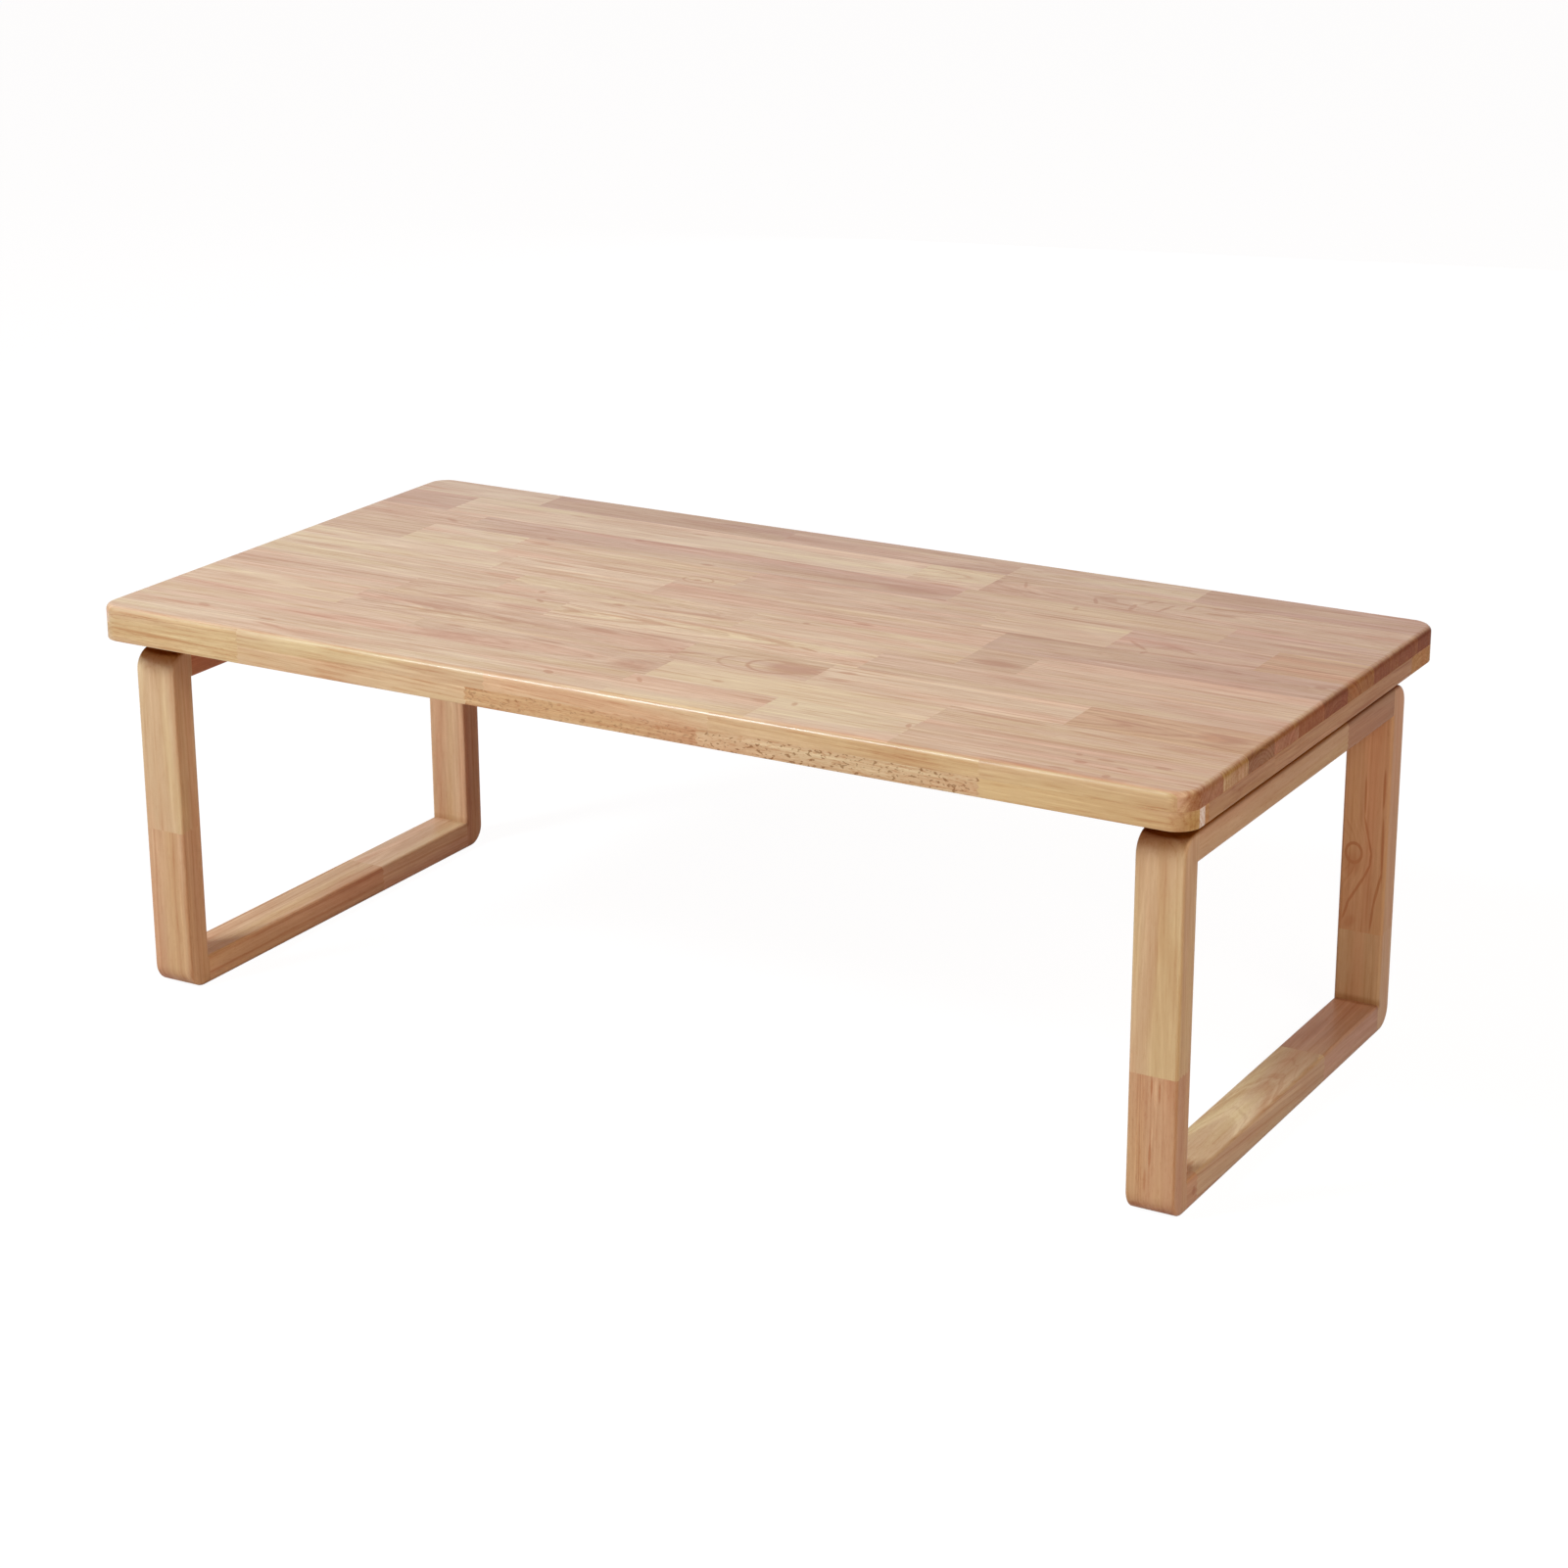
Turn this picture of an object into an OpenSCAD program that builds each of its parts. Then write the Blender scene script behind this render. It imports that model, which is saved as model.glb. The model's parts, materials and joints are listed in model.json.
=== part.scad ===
// Folding low table: an edge-glued top on two closed loop legs that fold inward.
// Millimetres, +Z up. The origin is on the floor, under the centre of the tabletop.
// +X runs along the length to the right, and +Y runs to the back.

/* [Tabletop] */
// Length of the tabletop along X
table_l = 1000; // [800:10:1200]
// Width of the tabletop along Y
table_w = 500; // [400:10:700]
// Height of the upper surface above the floor
table_h = 350; // [300:5:420]
// Thickness of the edge-glued panel
panel_t = 15; // [12:1:22]
// Thickness of the battens under the panel's rim
batten_t = 15; // [14:1:22]
// Width of the batten under the front edge
front_batten_w = 33; // [30:1:80]
// Width of the batten under the rear edge
rear_batten_w = 59; // [40:1:80]
// How far an end batten runs inward past its brackets
batten_margin = 7; // [2:1:20]
// Plan radius of the tabletop's corners
corner_r = 20; // [10:1:38]
// Roundover of the tabletop's upper arris
edge_r = 5; // [1:0.5:7]

/* [Legs] */
// Width of the leg members along X
stock_w = 40; // [38:1:60]
// Thickness of the leg members in the plane of the loop
stock_t = 25; // [20:1:40]
// From an end of the tabletop to a leg's outer face
end_inset = 15; // [0:1:40]
// From the tabletop's front or rear edge to a leg
side_inset = 28; // [0:1:60]
// Air gap between the tabletop and a leg's top rail
top_gap = 15; // [14.5:0.5:25]
// Outer radius of the loop's corners
loop_r = 18; // [10:1:30]
// Roundover along the leg members' arrises
arris_r = 2.5; // [1:0.5:4]

/* [Dowels] */
// Diameter of the dowels that join rails and posts
dowel_d = 8; // [6:1:10]
// Length of a dowel inside a post
dowel_in_post = 12; // [8:1:14]
// Length of a dowel inside a rail
dowel_in_rail = 20; // [12:1:30]
// Distance between the two dowels of a joint
dowel_pitch = 18; // [14:1:24]
// Radial clearance of a dowel in its bore
dowel_fit = 0.05; // [0.02:0.01:0.1]
// Spare depth of a bore past each end of its dowel
dowel_spare = 1; // [0.5:0.5:2]

/* [Folding brackets] */
// From the tabletop's front or rear edge to the middle of a bracket
bracket_inset = 120; // [100:5:150]
// Thickness of the stamped steel
steel_t = 2; // [1.5:0.25:2.25]
// Inside width between the ears of a leg plate
ear_span = 26; // [24:1:32]
// Side clearance between a leg plate's ears and a base plate's ears
ear_play = 0.4; // [0.2:0.1:0.8]
// Length of a bracket from its pivot outward, over the rail
channel_l = 34; // [30:1:36]
// Length of a base plate from its pivot inward
tongue_l = 38; // [36:1:50]
// From the pivot inward to the base plate's wings
wing_in = 8; // [7:1:12]
// Width of a base plate across its wings
wing_w = 60; // [56:1:70]
// Plan radius of a wing's corners
wing_r = 5; // [2:1:7]
// Depth of the base plate's side flanges, outward of the ears
flange_h = 5; // [3:0.5:6]
// Largest radius of a base plate's ear around the pin
ear_r = 5.5; // [4.5:0.1:6]
// Clearance between a base plate's ear and the rail that turns past it
ear_gap = 0.75; // [0.5:0.05:1]
// From the pin's centre to the two flats of the cam
cam_flat = 4.5; // [4:0.1:4.8]
// Radius of the cam's corner between its flats
cam_r = 5.6; // [5.2:0.1:5.8]
// Clearance between the leg plate and the base plate that stops it
stop_gap = 0.05; // [0.02:0.01:0.2]

/* [Hinge pin] */
// Diameter of the pin's shank
pin_d = 5; // [4:0.5:5]
// Radial clearance of the pin in the ears
pin_fit = 0.05; // [0.02:0.01:0.1]
// Diameter of the pin's heads
pin_head_d = 8; // [7:0.5:9]
// Thickness of the pin's heads
pin_head_t = 1.5; // [1:0.25:2]

/* [Leaf spring] */
// Thickness of the leaf
leaf_t = 0.8; // [0.6:0.1:1]
// Room above the leaf's tip for it to flex into
leaf_lift = 1.4; // [1.2:0.1:1.6]
// Length of the leaf's tip outward of the pivot
leaf_tip = 7; // [6:0.5:7]
// Clearance between the leaf and the cam
leaf_gap = 0.05; // [0.02:0.01:0.1]
// Clearance between the leaf's sides and the base plate's ears
leaf_side = 0.6; // [0.4:0.1:1]
// From the pivot inward to where the leaf starts to rise
leaf_rise_in = 12; // [10:1:14]
// Length of the leaf's rise to the base plate
leaf_rise_l = 10; // [8:1:12]

/* [Fasteners] */
// Diameter of a wood screw's shank
screw_d = 4; // [3:0.5:4.5]
// Length of a wood screw inside the wood
screw_l = 12; // [10:1:13]
// Diameter of a wood screw's pan head
screw_head_d = 7.5; // [6:0.5:8]
// Thickness of a wood screw's pan head
screw_head_t = 2.2; // [1.8:0.1:2.4]
// Radial clearance of a screw or rivet in its hole
screw_fit = 0.05; // [0.02:0.01:0.1]
// From the edge of a wing to the middle of its screws
screw_edge = 7; // [6:0.5:8]
// Sideways distance between the two screws inside the channel
screw_pitch = 14; // [12:1:16]
// From the pivot outward to the channel screws of the base plate
base_screw_out = 22; // [18:1:26]
// Diameter of a spring rivet's shank
rivet_d = 3.5; // [3:0.25:4]
// Diameter of a spring rivet's heads
rivet_head_d = 6.5; // [6:0.25:7]
// Thickness of a spring rivet's lower head
rivet_head_t = 1.2; // [1:0.1:1.5]
// Depth of a spring rivet's countersunk upper head
rivet_sink = 1; // [0.8:0.1:1.2]

/* [Hidden] */
$fn = 48;
eps = 0.01;

// Levels above the floor
under_z = table_h - panel_t - batten_t;
leg_h = under_z - top_gap;

// Loop legs
loop_w = table_w - 2 * side_inset;
leg_out_x = table_l / 2 - end_inset;
leg_in_x = leg_out_x - stock_w;
leg_mid_x = leg_out_x - stock_w / 2;
rail_l = loop_w - 2 * stock_t;

// Brackets. A bracket's own frame has its origin on the tabletop's underside,
// above the pin: X runs inward along the table, Y along the pin, Z up.
bracket_y = table_w / 2 - bracket_inset;
pivot_drop = steel_t + leaf_lift + leaf_t + leaf_gap + cam_flat;
rail_drop = top_gap - pivot_drop;
ear_round = min(ear_r, rail_drop - ear_gap);
leg_plate_w = ear_span + 2 * steel_t;
base_channel_w = leg_plate_w + 2 * ear_play + 2 * steel_t;
leaf_w = base_channel_w - 2 * steel_t - 2 * leaf_side;
leaf_root_in = leaf_rise_in + leaf_rise_l;
rivet_in = (leaf_root_in + tongue_l) / 2;
end_batten_w = end_inset + stock_w + tongue_l + batten_margin;
end_batten_l = table_w - front_batten_w - rear_batten_w;
end_batten_y = (front_batten_w - rear_batten_w) / 2;

// Screw and rivet places in a bracket's frame: inward, sideways
wing_screws = [
    for (u = [wing_in + screw_edge, tongue_l - screw_edge], s = [-1, 1])
        [u, s * (wing_w / 2 - screw_edge)]
];
base_channel_screws = [for (s = [-1, 1]) [-base_screw_out, s * screw_pitch / 2]];
base_screw_places = concat(wing_screws, base_channel_screws);
leg_screw_places = [
    for (u = [channel_l * 0.3, channel_l * 0.75], s = [-1, 1])
        [-u, s * screw_pitch / 2]
];
rivet_places = [for (s = [-1, 1]) [rivet_in, s * screw_pitch / 2]];

wood_light = "burlywood";
wood_warm = "tan";
steel = "silver";
spring_steel = "slategray";

// Ends and sides of the table as signs along X and Y
left = -1;
right = 1;
front = -1;
rear = 1;

// Helpers

module rounded_rect(l, w, r) {
    square([l - 2 * r, w], center = true);
    square([l, w - 2 * r], center = true);
    for (sx = [-1, 1], sy = [-1, 1])
        translate([sx * (l / 2 - r), sy * (w / 2 - r)])
            circle(r);
}

// Extrudes a profile drawn in (inward, up) by width w along the pin
module across(w) {
    rotate([90, 0, 0])
        linear_extrude(w, center = true)
            children();
}

// Two slabs of thickness t along the pin, whose outer faces are w apart
module pair_across(w, t) {
    for (s = [-1, 1])
        translate([0, s * (w - t) / 2, 0])
            across(t)
                children();
}

// Moves a bracket's own frame to one of the four corners
module at_bracket(end, side) {
    translate([end * leg_in_x, side * bracket_y, under_z])
        mirror([end > 0 ? 1 : 0, 0, 0])
            children();
}

module at_places(places, z) {
    for (p = places)
        translate([p[0], p[1], z])
            children();
}

// Tabletop

module quarter_round(r) {
    intersection() {
        circle(r);
        square(r);
    }
}

// The panel's upper arris is a quarter round that follows the rounded corners
module top_panel() {
    inner_l = table_l - 2 * edge_r;
    inner_w = table_w - 2 * edge_r;
    straight = panel_t - edge_r;
    color(wood_light)
    translate([0, 0, table_h - panel_t]) {
        linear_extrude(straight)
            rounded_rect(table_l, table_w, corner_r);
        linear_extrude(panel_t)
            rounded_rect(inner_l, inner_w, corner_r - edge_r);
        for (a = [0, 180]) {
            rotate([0, 0, a])
                translate([0, -inner_w / 2, straight])
                    rotate([90, 0, -90])
                        linear_extrude(table_l - 2 * corner_r, center = true)
                            quarter_round(edge_r);
            rotate([0, 0, a])
                translate([inner_l / 2, 0, straight])
                    rotate([90, 0, 0])
                        linear_extrude(table_w - 2 * corner_r, center = true)
                            quarter_round(edge_r);
            for (m = [0, 1])
                rotate([0, 0, a])
                    mirror([0, m, 0])
                        translate([table_l / 2 - corner_r, table_w / 2 - corner_r, straight])
                            rotate_extrude(angle = 90)
                                translate([corner_r - edge_r, 0])
                                    quarter_round(edge_r);
        }
    }
}

// A batten of length l along X and width w along Y, cut to the tabletop's outline
module batten(l, w, mid) {
    translate([0, 0, under_z])
        linear_extrude(batten_t)
            intersection() {
                rounded_rect(table_l, table_w, corner_r);
                translate(mid)
                    square([l, w], center = true);
            }
}

module long_batten(side, w) {
    color(wood_warm)
    batten(table_l, w, [0, side * (table_w - w) / 2]);
}

module end_batten(end) {
    color(wood_light)
    difference() {
        batten(end_batten_w, end_batten_l, [end * (table_l - end_batten_w) / 2, end_batten_y]);
        for (side = [front, rear])
            at_bracket(end, side)
                at_places(base_screw_places, -eps)
                    cylinder(h = screw_l + eps + screw_fit, d = screw_d + 2 * screw_fit);
    }
}

// Loop legs

// The loop's outer outline, as a slab that is wider than the members
module loop_slab(end) {
    translate([end * leg_mid_x, 0, leg_h / 2])
        rotate([90, 0, 90])
            linear_extrude(stock_w + 2, center = true)
                rounded_rect(loop_w, leg_h, loop_r);
}

// The dowels of one loop: two at each of its four corner joints
module at_dowels(end) {
    for (side = [front, rear], z = [stock_t / 2, leg_h - stock_t / 2], s = [-1, 1])
        translate([end * leg_mid_x + s * dowel_pitch / 2, side * rail_l / 2, z])
            rotate([-90 * side, 0, 0])
                children();
}

module dowel_bores(end) {
    at_dowels(end)
        translate([0, 0, -dowel_in_rail - dowel_spare])
            cylinder(h = dowel_in_rail + dowel_in_post + 2 * dowel_spare, d = dowel_d + 2 * dowel_fit);
}

module leg_dowels(end) {
    color(wood_warm)
    at_dowels(end)
        translate([0, 0, -dowel_in_rail])
            cylinder(h = dowel_in_rail + dowel_in_post, d = dowel_d);
}

module leg_post(end, side) {
    color(wood_light)
    difference() {
        intersection() {
            translate([end * leg_mid_x, side * (loop_w - stock_t) / 2, 0])
                linear_extrude(leg_h)
                    rounded_rect(stock_w, stock_t, arris_r);
            loop_slab(end);
        }
        dowel_bores(end);
    }
}

module leg_rail(end, mid_z) {
    intersection() {
        translate([end * leg_mid_x, 0, mid_z])
            rotate([90, 0, 0])
                linear_extrude(rail_l, center = true)
                    rounded_rect(stock_w, stock_t, arris_r);
        loop_slab(end);
    }
}

module top_rail(end) {
    color(wood_warm)
    difference() {
        leg_rail(end, leg_h - stock_t / 2);
        dowel_bores(end);
        for (side = [front, rear])
            at_bracket(end, side)
                at_places(leg_screw_places, -top_gap - screw_l - screw_fit)
                    cylinder(h = screw_l + screw_fit + eps, d = screw_d + 2 * screw_fit);
    }
}

module bottom_rail(end) {
    color(wood_light)
    difference() {
        leg_rail(end, stock_t / 2);
        dowel_bores(end);
    }
}

// Folding brackets, drawn in a bracket's own frame

module screw_holes(places, z) {
    at_places(places, z - eps)
        cylinder(h = steel_t + 2 * eps, d = screw_d + 2 * screw_fit);
}

module pin_bore(w) {
    translate([0, 0, -pivot_drop])
        rotate([90, 0, 0])
            cylinder(h = w + 2, d = pin_d + 2 * pin_fit, center = true);
}

// Side view of a base plate's ear with the flange that stiffens the channel
module base_ear_profile() {
    translate([-channel_l, -steel_t - flange_h])
        square([channel_l, flange_h + steel_t]);
    translate([-ear_round, -pivot_drop])
        square([2 * ear_round, pivot_drop]);
    translate([0, -pivot_drop])
        circle(ear_round);
}

module base_plate_outline() {
    translate([-channel_l, -base_channel_w / 2])
        square([channel_l + wing_in + wing_r, base_channel_w]);
    translate([(wing_in + tongue_l) / 2, 0])
        rounded_rect(tongue_l - wing_in, wing_w, wing_r);
}

// A countersunk rivet, or the hole for it when grown by a clearance
module rivet_body(grow) {
    root_z = -steel_t - leaf_t;
    head_r = rivet_head_d / 2 + grow;
    shank_r = rivet_d / 2 + grow;
    translate([0, 0, root_z])
        cylinder(h = steel_t + leaf_t, r = shank_r);
    translate([0, 0, -rivet_sink])
        cylinder(h = rivet_sink, r1 = shank_r, r2 = head_r);
}

module base_plate(end, side) {
    color(steel)
    at_bracket(end, side)
        difference() {
            union() {
                translate([0, 0, -steel_t])
                    linear_extrude(steel_t)
                        base_plate_outline();
                pair_across(base_channel_w, steel_t)
                    base_ear_profile();
            }
            screw_holes(base_screw_places, -steel_t);
            at_places(rivet_places, 0)
                rivet_body(screw_fit);
            pin_bore(base_channel_w);
        }
}

// Side view of a leg plate's ear: a tall part that stops against the base plate,
// and a cam with one flat for the upright leg and one for the folded leg
module leg_ear_profile() {
    stop_z = -steel_t - stop_gap;
    tall_in = leaf_tip + 1;
    foot_z = -top_gap;
    translate([-channel_l, foot_z])
        square([channel_l - tall_in, stop_z - foot_z]);
    translate([-tall_in - eps, foot_z])
        square([tall_in + eps, rail_drop]);
    intersection() {
        translate([-tall_in, -pivot_drop - min(cam_flat, rail_drop)])
            square([tall_in + cam_flat, cam_flat + min(cam_flat, rail_drop)]);
        union() {
            translate([0, -pivot_drop])
                circle(cam_r);
            translate([-tall_in, -pivot_drop - cam_flat])
                square([tall_in, 2 * cam_flat]);
        }
    }
}

module leg_plate(end, side) {
    color(steel)
    at_bracket(end, side)
        difference() {
            union() {
                translate([-channel_l, -leg_plate_w / 2, -top_gap])
                    cube([channel_l, leg_plate_w, steel_t]);
                pair_across(leg_plate_w, steel_t)
                    leg_ear_profile();
            }
            screw_holes(leg_screw_places, -top_gap);
            pin_bore(leg_plate_w);
        }
}

module hinge_pin(end, side) {
    color(steel)
    at_bracket(end, side)
        translate([0, 0, -pivot_drop])
            rotate([90, 0, 0]) {
                cylinder(h = base_channel_w, d = pin_d, center = true);
                for (s = [-1, 1])
                    translate([0, 0, s * (base_channel_w + pin_head_t) / 2])
                        cylinder(h = pin_head_t, d = pin_head_d, center = true);
            }
}

// The leaf presses on the cam, rises to the base plate and is riveted there
module leaf_spring(end, side) {
    tip_z = -steel_t - leaf_lift - leaf_t;
    root_z = -steel_t - leaf_t;
    color(spring_steel)
    at_bracket(end, side)
        difference() {
            across(leaf_w)
                polygon([
                    [-leaf_tip, tip_z],
                    [leaf_rise_in, tip_z],
                    [leaf_root_in, root_z],
                    [tongue_l, root_z],
                    [tongue_l, root_z + leaf_t],
                    [leaf_root_in, root_z + leaf_t],
                    [leaf_rise_in, tip_z + leaf_t],
                    [-leaf_tip, tip_z + leaf_t]
                ]);
            at_places(rivet_places, root_z - eps)
                cylinder(h = leaf_t + 2 * eps, d = rivet_d + 2 * screw_fit);
        }
}

module spring_rivets(end, side) {
    color(steel)
    at_bracket(end, side)
        at_places(rivet_places, 0) {
            rivet_body(0);
            translate([0, 0, -steel_t - leaf_t - rivet_head_t])
                cylinder(h = rivet_head_t, d1 = rivet_d, d2 = rivet_head_d);
        }
}

// A pan-head wood screw whose head's underside is at z = 0, and which points up
module wood_screw() {
    tip_l = screw_d;
    grip = steel_t + screw_l;
    translate([0, 0, -screw_head_t])
        cylinder(h = screw_head_t, d1 = screw_head_d * 0.7, d2 = screw_head_d);
    cylinder(h = grip - tip_l, d = screw_d);
    translate([0, 0, grip - tip_l])
        cylinder(h = tip_l, d1 = screw_d, d2 = screw_d * 0.15);
}

module base_screws(end, side) {
    color(spring_steel)
    at_bracket(end, side)
        at_places(base_screw_places, -steel_t)
            wood_screw();
}

module leg_screws(end, side) {
    color(spring_steel)
    at_bracket(end, side)
        at_places(leg_screw_places, -top_gap + steel_t)
            rotate([180, 0, 0])
                wood_screw();
}

top_panel();
long_batten(front, front_batten_w);  // front_batten
long_batten(rear, rear_batten_w);  // rear_batten
end_batten(left);  // left_end_batten
end_batten(right);  // right_end_batten

leg_post(left, front);  // left_front_post
leg_post(left, rear);  // left_rear_post
top_rail(left);  // left_top_rail
bottom_rail(left);  // left_bottom_rail
leg_dowels(left);  // left_leg_dowels

leg_post(right, front);  // right_front_post
leg_post(right, rear);  // right_rear_post
top_rail(right);  // right_top_rail
bottom_rail(right);  // right_bottom_rail
leg_dowels(right);  // right_leg_dowels

base_plate(left, front);  // left_front_base_plate
leg_plate(left, front);  // left_front_leg_plate
hinge_pin(left, front);  // left_front_hinge_pin
leaf_spring(left, front);  // left_front_leaf_spring
spring_rivets(left, front);  // left_front_spring_rivets
base_screws(left, front);  // left_front_base_screws
leg_screws(left, front);  // left_front_leg_screws

base_plate(left, rear);  // left_rear_base_plate
leg_plate(left, rear);  // left_rear_leg_plate
hinge_pin(left, rear);  // left_rear_hinge_pin
leaf_spring(left, rear);  // left_rear_leaf_spring
spring_rivets(left, rear);  // left_rear_spring_rivets
base_screws(left, rear);  // left_rear_base_screws
leg_screws(left, rear);  // left_rear_leg_screws

base_plate(right, front);  // right_front_base_plate
leg_plate(right, front);  // right_front_leg_plate
hinge_pin(right, front);  // right_front_hinge_pin
leaf_spring(right, front);  // right_front_leaf_spring
spring_rivets(right, front);  // right_front_spring_rivets
base_screws(right, front);  // right_front_base_screws
leg_screws(right, front);  // right_front_leg_screws

base_plate(right, rear);  // right_rear_base_plate
leg_plate(right, rear);  // right_rear_leg_plate
hinge_pin(right, rear);  // right_rear_hinge_pin
leaf_spring(right, rear);  // right_rear_leaf_spring
spring_rivets(right, rear);  // right_rear_spring_rivets
base_screws(right, rear);  // right_rear_base_screws
leg_screws(right, rear);  // right_rear_leg_screws
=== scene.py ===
"""Looks of a folding low table: a rubberwood top on two loop legs with steel folding brackets."""
import json
import math
import random

import bmesh
import bpy
from mathutils import Matrix, Vector

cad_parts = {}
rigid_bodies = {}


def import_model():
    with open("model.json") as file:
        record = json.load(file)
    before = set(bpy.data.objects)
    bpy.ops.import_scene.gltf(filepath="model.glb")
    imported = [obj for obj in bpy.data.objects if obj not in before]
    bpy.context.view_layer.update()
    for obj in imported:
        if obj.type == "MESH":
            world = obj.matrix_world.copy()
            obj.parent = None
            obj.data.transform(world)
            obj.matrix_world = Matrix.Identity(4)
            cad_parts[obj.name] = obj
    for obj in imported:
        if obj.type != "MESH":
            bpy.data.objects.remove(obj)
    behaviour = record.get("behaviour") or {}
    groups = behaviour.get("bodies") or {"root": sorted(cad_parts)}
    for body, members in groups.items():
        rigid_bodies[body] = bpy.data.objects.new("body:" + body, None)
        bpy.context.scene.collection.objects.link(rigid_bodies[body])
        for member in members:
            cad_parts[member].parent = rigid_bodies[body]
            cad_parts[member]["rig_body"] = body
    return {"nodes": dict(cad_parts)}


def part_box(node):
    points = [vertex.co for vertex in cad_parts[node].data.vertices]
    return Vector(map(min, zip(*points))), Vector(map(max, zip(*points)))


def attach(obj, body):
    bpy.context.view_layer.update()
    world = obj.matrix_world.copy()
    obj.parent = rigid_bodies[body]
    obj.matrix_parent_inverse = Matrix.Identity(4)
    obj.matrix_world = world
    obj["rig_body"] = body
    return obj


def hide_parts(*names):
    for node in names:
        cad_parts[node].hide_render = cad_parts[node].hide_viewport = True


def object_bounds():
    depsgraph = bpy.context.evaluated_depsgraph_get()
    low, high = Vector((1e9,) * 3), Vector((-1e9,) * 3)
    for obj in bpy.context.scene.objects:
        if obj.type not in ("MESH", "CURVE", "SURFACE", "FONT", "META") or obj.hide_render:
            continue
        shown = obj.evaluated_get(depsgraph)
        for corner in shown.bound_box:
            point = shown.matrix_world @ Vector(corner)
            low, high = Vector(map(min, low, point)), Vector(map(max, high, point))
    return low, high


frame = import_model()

cad_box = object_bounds()
MM = 0.001

# Roundings of the wood. The frame gives all other sizes.
CORNER_R = 20 * MM
TOP_ARRIS = 5 * MM
LOWER_ARRIS = 0.8 * MM
# The point in the round of the lower arris, as a share of it
ARRIS_KNEE = 0.3
SEAM_BEVEL = 0.25 * MM
EDGE_STRIP = 2 * MM
LOOP_R = 18 * MM
LEG_ARRIS = 2.5 * MM

# Finger joints between staves
FINGER_PITCH = 2.5 * MM
FINGER_DEPTH = 1.2 * MM

# Smoothness of curved outlines
CORNER_STEPS = 12
ARRIS_STEPS = 6
LEG_ARRIS_STEPS = 4
SHARP_ANGLE = math.radians(35)

# Tolerances of the mesh work, in metres
MERGE_DISTANCE = 1e-6
ON_PLANE = 1e-5
ON_OUTLINE = 1e-9
OUTLINE_TRIES = 200

# Camera, as fitted to the photograph: angles in degrees, lengths in metres
CAMERA_AZIMUTH = 30.069
CAMERA_ELEVATION = 19.015
CAMERA_ROLL = -0.234
CAMERA_DISTANCE = 2.967142
CAMERA_RIGHT = 0.019936
CAMERA_UP = -0.142237
CAMERA_LENS = 81.988
SENSOR = 36

# Light. A lamp is its name, the way to it, its size, power and colour, and whether gloss shows it.
LIGHT_DISTANCE = 3.5
LIGHT_AIM = 0.6
LIGHTS = [
    ("key_softbox", (-0.44, -0.63, 0.64), 0.85, 111, (0.78, 0.91, 1.0), True),
    ("fill_softbox", (0.72, -0.47, 0.50), 1.6, 42, (1.0, 0.91, 0.75), True),
    ("back_softbox", (-0.25, 0.96, 0.10), 1.6, 30, (0.90, 0.95, 1.0), False),
]
SKY_COLOR = (1.0, 0.50, 0.38)
SKY_STRENGTH = 0.22
FLOOR_BOUNCE = (0.62, 0.43, 0.36)
FLOOR_GLOW = 1.07
FLOOR_SIZE = 80
FLOOR_GREY = (0.95, 0.95, 0.95, 1)
SHADOW_SHARE = 0.10
WHITE = (1, 1, 1, 1)

# Tones of the staves under the lacquer, in sRGB
TONES = {
    "cream": (220, 192, 159),
    "sand": (216, 186, 152),
    "straw": (214, 182, 148),
    "beige": (209, 180, 150),
    "blush": (209, 175, 143),
    "peach": (205, 171, 139),
    "pink": (203, 166, 138),
    "rose": (196, 159, 131),
    "mauve": (192, 152, 125),
    "honey": (206, 180, 142),
    "wheat": (200, 171, 132),
    "ivory": (210, 188, 150),
    "apricot": (208, 172, 134),
    "tan": (200, 165, 129),
    "amber": (199, 158, 118),
    "clay": (181, 142, 99),
    "umber": (176, 136, 95),
    "rust": (192, 138, 100),
}

# How a stave is sawn from its log: how far the pith lies from the stave's middle, across and in
# depth, in mm, and how the stave leans against the log both ways, which draws arches on it
CUTS = {
    "quarter": (95, 12, 0.006, 0.0),
    "rift": (50, 48, 0.012, 0.01),
    "flat": (5, 34, 0.0, 0.018),
    "arch_left": (2, 27, 0.004, -0.05),
    "arch_right": (-3, 27, -0.004, 0.05),
}
# How strongly a stave shows its rings and its pores
GRADES = {
    "plain": (0.45, 0.25),
    "fair": (0.75, 0.4),
    "lively": (1.15, 0.5),
    "dotted": (0.7, 1.05),
    "flecked": (0.7, 1.3),
}

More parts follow.
